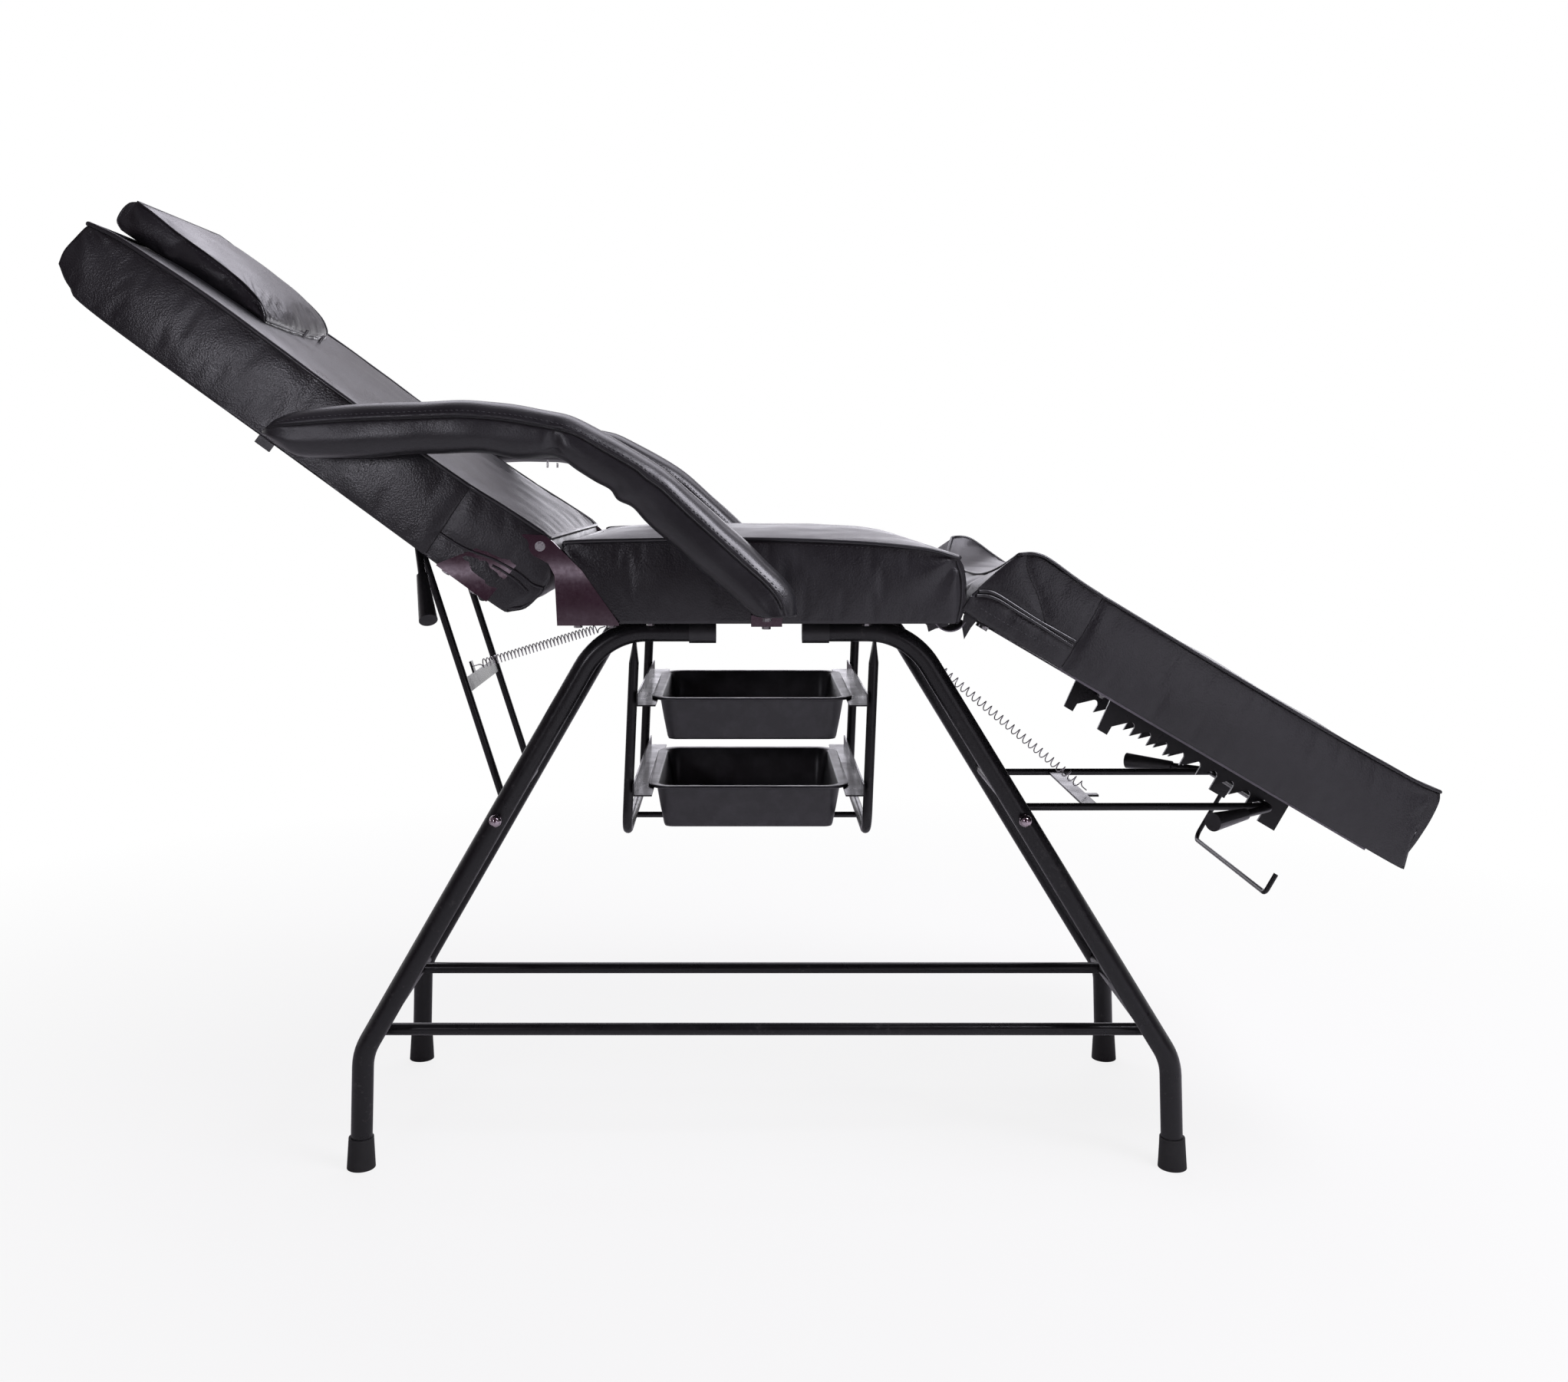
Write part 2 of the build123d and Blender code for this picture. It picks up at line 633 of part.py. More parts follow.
def leg_x_at(end, height):
    """Where a leg's centre line passes a height on its long slope."""
    knee, shoulder = leg_points(end)[1:3]
    share = (height - knee[1]) / (shoulder[1] - knee[1])
    return knee[0] + (shoulder[0] - knee[0]) * share


def rubber_feet():
    """Tapered rubber ferrules pushed over the leg tubes."""
    feet = []
    foot_radius = FERRULE_FOOT_DIAMETER * HALF
    floor_centre = (Align.CENTER, Align.CENTER, Align.MIN)
    for end in (-1, 1):
        foot = Cone(foot_radius, FERRULE_TOP_DIAMETER * HALF, FERRULE_HEIGHT, align=floor_centre)
        foot = Pos(end * FOOT_REACH, LEG_Y, 0) * foot
        points = leg_points(end)
        socket = rod((points[0][0], LEG_Y, points[0][1]), (points[1][0], LEG_Y, points[1][1]), TUBE_DIAMETER)
        feet += both_sides(foot - socket)
    return feet


def leg_end_caps():
    """Plastic caps over the ends of the leg tubes under the seat."""
    caps = []
    outer = TUBE_DIAMETER + CAP_WALL * 2
    for end, tube_end in ((-1, HEAD_TUBE_END), (1, FOOT_TUBE_END)):
        closed = (end * (tube_end - CAP_WALL), LEG_Y, LEG_TOP_HEIGHT)
        open_end = (end * (tube_end + CAP_LENGTH - CAP_WALL), LEG_Y, LEG_TOP_HEIGHT)
        seat = (end * tube_end, LEG_Y, LEG_TOP_HEIGHT)
        cap = rod(closed, open_end, outer) - rod(seat, open_end, TUBE_DIAMETER)
        caps += both_sides(cap)
    return caps


def cross_members():
    """Tubes across the chair, welded between the near and the far leg of each end."""
    tubes = []
    for end in (-1, 1):
        x = leg_x_at(end, CROSS_HEIGHT)
        reach = LEG_Y
        tube = bent_rod([(x, -reach, CROSS_HEIGHT), (x, reach, CROSS_HEIGHT)], 0, CROSS_DIAMETER, TUBE_WALL)
        tubes.append(tube - leg_tube(end, -1, 0) - leg_tube(end, 1, 0))
    return tubes


def stretcher_bars():
    """Two bars along the chair between the cross members."""
    y = STRETCHER_SPACING * HALF
    radius = CROSS_DIAMETER * HALF
    ends = [(leg_x_at(end, CROSS_HEIGHT), y, CROSS_HEIGHT) for end in (-1, 1)]
    bars = rod(ends[0], ends[1], STRETCHER_DIAMETER)
    for end in (-1, 1):
        x = leg_x_at(end, CROSS_HEIGHT)
        near = (x, y - STRETCHER_DIAMETER, CROSS_HEIGHT)
        far = (x, y + STRETCHER_DIAMETER, CROSS_HEIGHT)
        bars = bars - rod(near, far, radius * 2)
    return both_sides(bars)


def seat_rails():
    """Flat steel bars across the leg tubes, under the seat board."""
    reach = LEG_Y + RAIL_OVERHANG
    low = BOARD_LOW - RAIL_THICKNESS
    rails = []
    for x in (HEAD_RAIL_X, FOOT_RAIL_X):
        rails.append(block(x - RAIL_WIDTH * HALF, x + RAIL_WIDTH * HALF, -reach, reach, low, BOARD_LOW))
    return rails


def rail_bolts():
    """Bolts up through the rails beside the leg tubes."""
    y = LEG_Y + TUBE_RADIUS + BOLT_HEAD
    low = BOARD_LOW - RAIL_THICKNESS
    bolts = []
    for x in (HEAD_RAIL_X, FOOT_RAIL_X):
        bolts += both_sides(bolt((x, y, low), (0, 0, -1)))
    return bolts


# Racks and struts

def pivot_point(end):
    return (leg_x_at(end, PIVOT_HEIGHT), PIVOT_HEIGHT)


def pivot_rod(end):
    """Steel rod through both legs of an end; a strut swings on it."""
    reach = LEG_Y + TUBE_RADIUS + ACORN_HEIGHT * HALF
    x, z = pivot_point(end)
    return rod((x, -reach, z), (x, reach, z), PIVOT_ROD_DIAMETER)


def acorn_nuts():
    """Domed nuts outside the legs on both ends of the pivot rods."""
    nuts = []
    face = LEG_Y + TUBE_RADIUS
    hexagon = ACORN_HEIGHT * HALF
    for end in (-1, 1):
        x, z = pivot_point(end)
        nut = extrude(RegularPolygon(ACORN_ACROSS * HALF, 6), amount=hexagon)
        dome_centre = Pos(0, 0, hexagon)
        dome = dome_centre * Sphere(ACORN_HEIGHT * HALF)
        nut = nut + dome
        nut = nut.moved(Plane(origin=(x, face, z), z_dir=(0, 1, 0)).location)
        nut = nut - rod((x, 0, z), (x, face + hexagon, z), PIVOT_ROD_DIAMETER)
        nuts += both_sides(nut)
    return nuts


def rack_outline(seat_along, notches, far_length, far_depth, end_ramp):
    """Lower edge of a rack: slots with a steep far wall and, on the hinge side, a ramp tangent to the slot.

    seat_along is the hinge-most slot's place, depths count down from the board.
    """
    reach = ROD_DIAMETER * HALF + NOTCH_CLEARANCE
    centre = BAR_BELOW_BOARD
    edges = []
    point = None
    for index in range(notches):
        along = seat_along + index * NOTCH_PITCH
        slope = math.radians(RAMP_ANGLE if index else end_ramp)
        foot = (along - reach * math.cos(slope), reach * math.sin(slope) - centre)
        tip = (foot[0] - (TOOTH_DEPTH + foot[1]) * math.tan(slope), -TOOTH_DEPTH)
        if index:
            if tip[0] < point[0]:
                tip = (point[0], foot[1] - (foot[0] - point[0]) / math.tan(slope))
            edges.append(Line(point, (point[0], tip[1])))
            if tip[0] > point[0]:
                edges.append(Line((point[0], tip[1]), tip))
        edges.append(Line(tip, foot))
        edges.append(ThreePointArc(foot, (along, reach - centre), (along + reach, -centre)))
        point = (along + reach, -centre)
    far = point[0] + far_length
    edges.append(Line(point, (point[0], -far_depth)))
    edges.append(Line((point[0], -far_depth), (far, -far_depth)))
    edges.append(Line((far, -far_depth), (far, 0)))
    return edges, far


def rack(seat_along, notches, far_length, far_depth, hook, end_ramp):
    """Notched plate with a foot that is bolted to the board; hook adds a long tooth."""
    edges, far = rack_outline(seat_along, notches, far_length, far_depth, end_ramp)
    start = edges[0] @ 0
    if hook:
        near = start.X - HOOK_WIDTH
        tip = (near + HOOK_WIDTH * HALF * HALF, -RACK_HOOK_DEPTH)
        root = (start.X, -RACK_HOOK_DEPTH)
        edges = [Line((near, 0), tip), Line(tip, root), Line(root, start)] + edges
    else:
        near = start.X
        edges = [Line((near, 0), start)] + edges
    edges.append(Line((far, 0), (near, 0)))
    plate_y = RACK_SPACING * HALF
    face = side_plane(plate_y) * make_face(Curve() + edges)
    plate = extrude(face, amount=RACK_THICKNESS, dir=(0, -1, 0))
    foot = block(near, far, plate_y - RACK_FLANGE, plate_y, -CROSS_PLATE_THICKNESS, 0)
    return plate + foot


def back_racks():
    solid = rack(BACK_SEAT_ALONG, BACK_NOTCHES, BACK_RACK_TAB, RACK_END_DEPTH, False, BACK_END_RAMP_ANGLE)
    lowered = Pos(0, 0, -BACK_PIVOT_ABOVE_BOARD) * solid
    return both_sides(place(back_plane(), lowered))


def leg_rest_racks():
    first = LEG_SEAT_ALONG - (LEG_NOTCHES - 1) * NOTCH_PITCH
    solid = rack(first, LEG_NOTCHES, LEG_RACK_END, RACK_END_DEPTH, True, RAMP_ANGLE)
    return both_sides(place(leg_rest_plane(), solid))


def rack_bolts(plane, alongs, board):
    """Bolts through the racks' feet."""
    y = RACK_SPACING * HALF - (RACK_FLANGE + RACK_THICKNESS) * HALF
    down = plane.z_dir * -1
    low = board - CROSS_PLATE_THICKNESS
    return [bolt(spot(plane, along, across, low), down) for along in alongs for across in (-y, y)]


def back_rack_bolts():
    alongs = [BACK_SEAT_ALONG + NOTCH_PITCH * 2, BACK_SEAT_ALONG + NOTCH_PITCH * (BACK_NOTCHES - 1)]
    return rack_bolts(back_plane(), alongs, -BACK_PIVOT_ABOVE_BOARD)


def leg_rack_bolts():
    last = LEG_SEAT_ALONG - NOTCH_PITCH
    return rack_bolts(leg_rest_plane(), [last - NOTCH_PITCH * (LEG_NOTCHES - 2), last], 0)


def bar_point(end):
    """Centre of a strut's crossbar in its slot, as (x, z)."""
    if end < 0:
        seat = spot(back_plane(), BACK_SEAT_ALONG, 0, -BACK_PIVOT_ABOVE_BOARD - BAR_BELOW_BOARD)
    else:
        seat = spot(leg_rest_plane(), LEG_SEAT_ALONG, 0, -BAR_BELOW_BOARD)
    return seat.X, seat.Z


def strut_plane(end):
    """Frame of a strut: origin on its pivot, x towards its crossbar, y across the chair."""
    x, z = pivot_point(end)
    bar_x, bar_z = bar_point(end)
    along = Vector(bar_x - x, 0, bar_z - z).normalized()
    return Plane(origin=(x, 0, z), x_dir=along, z_dir=(-along.Z, 0, along.X))


def strut_length(end):
    x, z = pivot_point(end)
    bar_x, bar_z = bar_point(end)
    return math.hypot(bar_x - x, bar_z - z)


def strut_sleeve(end):
    """Tube that turns on the pivot rod between the legs."""
    reach = ROD_SPACING * HALF + SLEEVE_DIAMETER
    bore = PIVOT_ROD_DIAMETER + SLEEVE_CLEARANCE * 2
    sleeve = rod((0, -reach, 0), (0, reach, 0), SLEEVE_DIAMETER) - rod((0, -reach, 0), (0, reach, 0), bore)
    return place(strut_plane(end), sleeve)


def strut_rods(end):
    """The two long rods between the sleeve and the crossbar."""
    y = ROD_SPACING * HALF
    start = SLEEVE_DIAMETER * HALF
    stop = strut_length(end) - ROD_DIAMETER * HALF
    bar = rod((0, y, 0), (stop + ROD_DIAMETER, y, 0), ROD_DIAMETER)
    bar = bar - rod((0, y - OVERRUN, 0), (0, y + OVERRUN, 0), start * 2)
    crossbar_x = stop + ROD_DIAMETER * HALF
    bar = bar - block(crossbar_x, crossbar_x + OVERRUN, 0, y * 2, -OVERRUN, OVERRUN)
    bar = bar - bent_rod(handle_points(end), [HANDLE_BEND, HANDLE_BEND], ROD_DIAMETER)
    return [place(strut_plane(end), piece) for piece in both_sides(bar)]


def handle_points(end):
    """Crossbar with both ends bent back towards the pivot and outwards into handles."""
    length = strut_length(end)
    y = ROD_SPACING * HALF + ROD_DIAMETER
    tip = (length - HANDLE_BACK, y + HANDLE_OUT, 0)
    corner = (length, y, 0)
    return [(tip[0], -tip[1], 0), (corner[0], -corner[1], 0), corner, tip]


def strut_crossbar(end):
    return place(strut_plane(end), bent_rod(handle_points(end), [HANDLE_BEND, HANDLE_BEND], ROD_DIAMETER))


def strut_grips(end):
    """Tapered plastic grips over the handle ends."""
    tip = Vector(*handle_points(end)[3])
    corner = Vector(*handle_points(end)[2])
    back = (corner - tip).normalized()
    foot = (Align.CENTER, Align.CENTER, Align.MIN)
    grip = Cone(GRIP_END_DIAMETER * HALF, GRIP_NECK_DIAMETER * HALF, GRIP_LENGTH, align=foot)
    grip = Pos(0, 0, -GRIP_NECK_DIAMETER * HALF) * grip
    grip = grip.moved(Plane(origin=tip, z_dir=back).location) - rod(tip, corner, ROD_DIAMETER)
    return [place(strut_plane(end), piece) for piece in both_sides(grip)]


def plate_along(end):
    return strut_length(end) * (BACK_PLATE_SHARE if end < 0 else LEG_PLATE_SHARE)


def strut_plate(end):
    """Flat bar between the rods, with an upright tab that the spring hooks on."""
    along = plate_along(end)
    reach = (ROD_SPACING - ROD_DIAMETER) * HALF
    half = CROSS_PLATE_WIDTH * HALF
    thick = CROSS_PLATE_THICKNESS * HALF
    plate = block(along - half, along + half, -reach, reach, -thick, thick)
    tab_y = HOOK_TAB_OFFSET
    tab = block(
        along + half - CROSS_PLATE_THICKNESS, along + half + HOOK_TAB_LENGTH,
        -tab_y - HOOK_TAB_WIDTH * HALF, -tab_y + HOOK_TAB_WIDTH * HALF, -thick, thick,
    )
    return place(strut_plane(end), plate + tab)


def spring_ends(end):
    """World points where a spring meets its anchor and its tab."""
    x = BACK_ANCHOR_X if end < 0 else LEG_ANCHOR_X
    anchor = Vector(x, ANCHOR_Y, ANCHOR_HEIGHT)
    tab_along = plate_along(end) + CROSS_PLATE_WIDTH * HALF + HOOK_TAB_LENGTH * HALF
    tab = spot(strut_plane(end), tab_along, -HOOK_TAB_OFFSET, 0)
    tab = Vector(tab.X, ANCHOR_Y, tab.Z)
    axis = (tab - anchor).normalized()
    anchor_gap = (ANCHOR_DIAMETER * HALF + SPRING_WIRE * HALF + SOFT_GAP * HALF) / abs(axis.X)
    tab_gap = CROSS_PLATE_THICKNESS * HALF + SOFT_GAP
    if end < 0:
        return anchor + axis * anchor_gap, tab - axis * tab_gap
    return anchor + axis * anchor_gap, tab - axis * (tab_gap + HOOK_TAB_LENGTH * HALF)


def biarc(start, start_direction, stop, stop_direction):
    """Two arcs that join smoothly and leave and arrive in the given directions."""
    chord = stop - start
    turn = start_direction + stop_direction
    spread = 2 * (1 - start_direction.dot(stop_direction))
    along = chord.dot(turn)
    reach = (math.sqrt(along ** 2 + spread * chord.dot(chord)) - along) / spread
    middle = (start + stop + (start_direction - stop_direction) * reach) * HALF
    first = TangentArc(start, middle, tangent=start_direction)
    second = TangentArc(stop, middle, tangent=stop_direction * -1)
    return [first, second]


def spring(end):
    """Tension spring: one unbroken wire, its turns worked out as biarcs of half a turn."""
    first, last = spring_ends(end)
    span = last - first
    axis = span.normalized()
    side = Vector(0, 1, 0)
    up = axis.cross(side)
    radius = (SPRING_COIL - SPRING_WIRE) * HALF
    coil = span.length - SPRING_LEAD * 2
    pitch = coil / SPRING_TURNS
    rise = pitch / (2 * math.pi)

    def point(turns):
        angle = 2 * math.pi * turns
        turned = side * (radius * math.sin(angle)) + up * (radius * math.cos(angle))
        return first + axis * (SPRING_LEAD + pitch * turns) + turned

    def direction(turns):
        angle = 2 * math.pi * turns
        swing = side * (radius * math.cos(angle)) - up * (radius * math.sin(angle))
        return (swing + axis * rise).normalized()

    lead_end = first + axis * (SPRING_LEAD * HALF)
    tail_start = last - axis * (SPRING_LEAD * HALF)
    edges = [Line(first, lead_end)] + biarc(lead_end, axis, point(0), direction(0))
    for half_turn in range(SPRING_TURNS * 2):
        start = half_turn * HALF
        edges += biarc(point(start), direction(start), point(start + HALF), direction(start + HALF))
    edges += biarc(point(SPRING_TURNS), direction(SPRING_TURNS), tail_start, axis) + [Line(tail_start, last)]
    path = Wire(edges)
    solid = sweep(Plane(origin=first, z_dir=axis) * Circle(SPRING_WIRE * HALF), path=path)
    samples = [point(index / SPRING_SAMPLES) for index in range(SPRING_TURNS * SPRING_SAMPLES + 1)]
    apart = SPRING_SAMPLES // 2 + 1
    least = min(
        (samples[i] - samples[j]).length
        for i in range(len(samples))
        for j in range(i + apart, min(i + SPRING_SAMPLES * 2, len(samples)))
    )
    print("spring", end, "length", round(span.length), "least gap", round(least - SPRING_WIRE, 2))
    return solid


def spring_anchors():
    """Round posts under the seat board that the springs hook on."""
    posts = []
    for x in (BACK_ANCHOR_X, LEG_ANCHOR_X):
        post = rod((x, ANCHOR_Y, ANCHOR_HEIGHT - ANCHOR_DIAMETER), (x, ANCHOR_Y, BOARD_LOW), ANCHOR_DIAMETER)
        posts.append(post)
    return posts


# Hinges

def seat_hinge_plates():
    """Bright side plates: an eye around the pin, a slanted front and a foot under the board."""
    x = BACK_PIVOT_X
    z = BACK_PIVOT_Z
    low = BOARD_LOW - PLATE_THICKNESS
    eye = SEAT_PLATE_EYE
    foot_rear = SEAT_REAR_X - PLATE_TAIL
    foot_front = foot_rear + PLATE_FOOT_LENGTH
    inner = HALF_WIDTH + PLATE_THICKNESS + PLATE_GAP * 2
    outer = inner + PLATE_THICKNESS
    outline = [(x + along, z + up) for along, up in SEAT_PLATE_SLANT]
    outline += [(foot_front, BOARD_LOW), (foot_front, low), (foot_rear, low)]
    outline += [(x + along, z + up) for along, up in SEAT_PLATE_NECK]
    web = side_slab(outline, inner, outer)
    web = web + rod((x, inner, z), (x, outer, z), eye * 2)
    foot = block(foot_rear, foot_front, outer - PLATE_FLANGE, outer, low, BOARD_LOW)
    plate = web + foot - rod((x, inner - OVERRUN, z), (x, outer + OVERRUN, z), HINGE_PIN_DIAMETER)
    return both_sides(plate)


def back_hinge_plates():
    """Bright plates on the back: they reach from the pin to a foot under the back's board."""
    low = -BACK_PIVOT_ABOVE_BOARD
    inner = HALF_WIDTH + PLATE_GAP
    outer = inner + PLATE_THICKNESS
    thick = PLATE_THICKNESS
    outline = BACK_PLATE_TOP + [
        (BACK_PLATE_END, low), (BACK_PLATE_END, low - thick), (BOARD_SETBACK, low - thick),
    ] + BACK_PLATE_NECK
    web = side_slab(outline, inner, outer)
    web = web + rod((0, inner, 0), (0, outer, 0), SEAT_PLATE_EYE * 2 - PIN_HEAD)
    foot = block(BOARD_SETBACK, BACK_PLATE_END, outer - PLATE_FLANGE, outer, low - thick, low)
    hole = HINGE_PIN_DIAMETER + PIN_CLEARANCE * 2
    plate = web + foot - rod((0, inner - OVERRUN, 0), (0, outer + OVERRUN, 0), hole)
    return both_sides(place(back_plane(), plate))


def back_hinge_pins():
    """Headed pins through both plates of each side."""
    x = BACK_PIVOT_X
    z = BACK_PIVOT_Z
    inner = HALF_WIDTH + PLATE_GAP
    outer = inner + PLATE_THICKNESS * 2 + PLATE_GAP
    pin = rod((x, inner, z), (x, outer, z), HINGE_PIN_DIAMETER)
    head = rod((x, outer, z), (x, outer + PIN_HEAD, z), HINGE_PIN_DIAMETER + PIN_HEAD)
    return both_sides(pin + head)


def seat_plate_bolts():
    """Bolts up through the feet of the seat's hinge plates."""
    y = HALF_WIDTH - PLATE_FLANGE * HALF
    rear = SEAT_REAR_X - PLATE_TAIL
    low = BOARD_LOW - PLATE_THICKNESS
    bolts = []
    for share in PLATE_BOLT_SHARES:
        bolts += both_sides(bolt((rear + PLATE_FOOT_LENGTH * share, y, low), (0, 0, -1)))
    return bolts


def back_plate_bolts():
    """Bolts through the feet of the back's hinge plates."""
    plane = back_plane()
    y = HALF_WIDTH - PLATE_FLANGE * HALF
    low = -BACK_PIVOT_ABOVE_BOARD - PLATE_THICKNESS
    bolts = []
    for share in PLATE_BOLT_SHARES:
        along = BOARD_SETBACK + (BACK_PLATE_END - BOARD_SETBACK) * share
        for across in (-y, y):
            bolts.append(bolt(spot(plane, along, across, low), plane.z_dir * -1))
    return bolts


def knuckle(y_low, y_high):
    barrel = rod((0, y_low, 0), (0, y_high, 0), KNUCKLE_DIAMETER)
    return barrel - rod((0, y_low, 0), (0, y_high, 0), LEG_PIN_DIAMETER + PIN_CLEARANCE * 2)


def seat_leaves():
    """Fixed halves of the leg rest's two hinges, under the front of the seat board."""
    leaves = []
    low = BOARD_LOW - LEG_PIVOT_Z - LEAF_THICKNESS
    radius = KNUCKLE_DIAMETER * HALF
    third = LEAF_LENGTH / 3
    outline = [
        (-LEAF_WIDTH - radius, low), (LEAF_THICKNESS - radius, low), (LEAF_THICKNESS - radius, 0),
        (-radius, 0), (-radius, low + LEAF_THICKNESS), (-LEAF_WIDTH - radius, low + LEAF_THICKNESS),
    ]
    for side in (-1, 1):
        y = side * LEAF_SPACING * HALF
        leaf = []
        for y_low in (y - LEAF_LENGTH * HALF, y + third * HALF + SOFT_GAP * HALF):
            y_high = y_low + third - SOFT_GAP * HALF
            web = side_slab(outline, y_low, y_high)
            web = web - rod((0, y_low, 0), (0, y_high, 0), LEG_PIN_DIAMETER + PIN_CLEARANCE * 2)
            leaf.append(web + knuckle(y_low, y_high))
        middle = block(
            -LEAF_WIDTH - radius, -radius - LEAF_THICKNESS, y - LEAF_LENGTH * HALF, y + LEAF_LENGTH * HALF,
            low, low + LEAF_THICKNESS,
        )
        solid = leaf[0] + leaf[1] + middle
        leaves.append(Pos(LEG_PIVOT_X, 0, LEG_PIVOT_Z) * solid)
    return leaves


def leg_leaves():
    """Moving halves of the leg rest's hinges, under its board."""
    leaves = []
    third = LEAF_LENGTH / 3
    for side in (-1, 1):
        y = side * LEAF_SPACING * HALF
        y_low = y - third * HALF + SOFT_GAP * HALF
        y_high = y + third * HALF - SOFT_GAP * HALF
        start = KNUCKLE_DIAMETER
        arm = block(0, start, y_low, y_high, -LEAF_THICKNESS, 0)
        arm = arm - rod((0, y_low, 0), (0, y_high, 0), LEG_PIN_DIAMETER + PIN_CLEARANCE * 2)
        plate = block(start, LEAF_WIDTH, y - LEAF_LENGTH * HALF, y + LEAF_LENGTH * HALF, -LEAF_THICKNESS, 0)
        leaves.append(place(leg_rest_plane(), arm + knuckle(y_low, y_high) + plate))
    return leaves


def leg_hinge_pins():
    reach = LEAF_LENGTH * HALF
    pins = []
    for side in (-1, 1):
        y = side * LEAF_SPACING * HALF
        low = (LEG_PIVOT_X, y - reach, LEG_PIVOT_Z)
        high = (LEG_PIVOT_X, y + reach, LEG_PIVOT_Z)
        pins.append(rod(low, high, LEG_PIN_DIAMETER))
    return pins


def leaf_screws():
    """Screws through the leg rest's hinge leaves."""
    plane = leg_rest_plane()
    screws = []
    for side in (-1, 1):
        for across in (-LEAF_LENGTH * HALF * HALF, LEAF_LENGTH * HALF * HALF):
            middle = side * LEAF_SPACING * HALF
            position = spot(plane, LEAF_WIDTH - BOLT_HEAD, middle + across, -LEAF_THICKNESS)
            screws.append(bolt(position, plane.z_dir * -1))
    return screws


# Tray rack

def tray_lean(height):
    """How far the tray rack has leant towards the head at a height."""
    return -TRAY_LEAN * (LEG_TOP_HEIGHT - height) / (LEG_TOP_HEIGHT - TRAY_FRAME_LOW)


def tray_frame_x(side, height):
    return TRAY_MIDDLE_X + side * TRAY_FRAME_SPACING * HALF + tray_lean(height)


def tray_frame(side):
    """U-shaped tube that hangs between the leg tubes, its ends pressed flat to blades."""
    y = TRAY_FRAME_DEPTH * HALF
    round_end = LEG_TOP_HEIGHT - TUBE_RADIUS - TRAY_EAR_HEIGHT
    high_x = tray_frame_x(side, round_end)
    low_x = tray_frame_x(side, TRAY_FRAME_LOW)
    low_bends = [(low_x, -y, TRAY_FRAME_LOW), (low_x, y, TRAY_FRAME_LOW)]
    points = [(high_x, -y, round_end)] + low_bends + [(high_x, y, round_end)]
    tube = bent_rod(points, [TRAY_FRAME_BEND, TRAY_FRAME_BEND], TRAY_FRAME_TUBE, TRAY_TUBE_WALL)
    run = Vector(*points[0]) - Vector(*points[1])
    for sign in (-1, 1):
        start = Vector(high_x, sign * y, round_end)
        squash = start + run.normalized() * TRAY_EAR_HEIGHT
        cuff = Plane(origin=start, x_dir=(0, 1, 0), z_dir=run) * Circle(TRAY_FRAME_TUBE * HALF)
        blade = Plane(origin=squash, x_dir=(0, 1, 0), z_dir=run)
        flat = blade * Rectangle(TRAY_BLADE_WIDTH, TRAY_EAR_THICKNESS)
        tube = tube + loft([cuff.face(), flat.face()])
        tube = tube + extrude(flat, amount=TRAY_BLADE_WIDTH, dir=run.normalized())
    return tube


def tray_frame_bolts():
    """Bolts through the blades, on the faces that look at the trays."""
    height = LEG_TOP_HEIGHT - TUBE_RADIUS * HALF
    bolts = []
    for side in (-1, 1):
        x = tray_frame_x(side, height) - side * (TRAY_EAR_THICKNESS * HALF + PLATE_GAP)
        bolts += both_sides(bolt((x, TRAY_FRAME_DEPTH * HALF, height), (-side, 0, 0)))
    return bolts


def tray_rails():
    """Angle strips between the uprights; the trays' rims slide on their shelves."""
    rails = []
    half = TRAY_RAIL_LENGTH * HALF
    for side in (-1, 1):
        for height in (TRAY_UPPER_HEIGHT, TRAY_LOWER_HEIGHT):
            nearest = height + TRAY_RAIL_HEIGHT if side < 0 else height - TRAY_RAIL_THICKNESS
            wall = tray_frame_x(side, nearest) - side * TRAY_FRAME_TUBE * HALF
            web_x = sorted((wall, wall - side * TRAY_RAIL_THICKNESS))
            shelf_x = sorted((wall, wall - side * TRAY_RAIL_SHELF))
            low = height - TRAY_RAIL_THICKNESS
            web = block(web_x[0], web_x[1], -half, half, low, height + TRAY_RAIL_HEIGHT)
            shelf = block(shelf_x[0], shelf_x[1], -half, half, low, height)
            rails.append(web + shelf)
    return rails


def tray(height):
    """Open tapered tray that hangs on its rim."""
    top = height + TRAY_SLIDE_GAP + TRAY_WALL
    width = TRAY_WIDTH - TRAY_RIM * 2
    length = TRAY_LENGTH - TRAY_RIM * 2

    def body(shrink, floor):
        corner = TRAY_CORNER - shrink
        wide = width - shrink * 2
        long = length - shrink * 2
        mouth = Pos(0, 0, top) * RectangleRounded(wide, long, corner)
        taper = TRAY_TAPER * 2
        base = Pos(0, 0, floor) * RectangleRounded(wide - taper, long - taper, corner)
        return loft([mouth.face(), base.face()])

    floor = top - TRAY_DEPTH
    rim_face = RectangleRounded(TRAY_WIDTH, TRAY_LENGTH, TRAY_CORNER)
    rim = Pos(0, 0, top - TRAY_WALL) * extrude(rim_face, amount=TRAY_WALL)
    inner = body(TRAY_WALL, floor + TRAY_WALL)
    wall = TRAY_WALL * 2
    mouth_face = RectangleRounded(width - wall, length - wall, TRAY_CORNER - TRAY_WALL)
    mouth_cut = Pos(0, 0, top - TRAY_WALL) * extrude(mouth_face, amount=TRAY_WALL)
    shell = body(0, floor) + (rim - mouth_cut) - inner
    return Pos(TRAY_MIDDLE_X + tray_lean(height), 0, 0) * shell


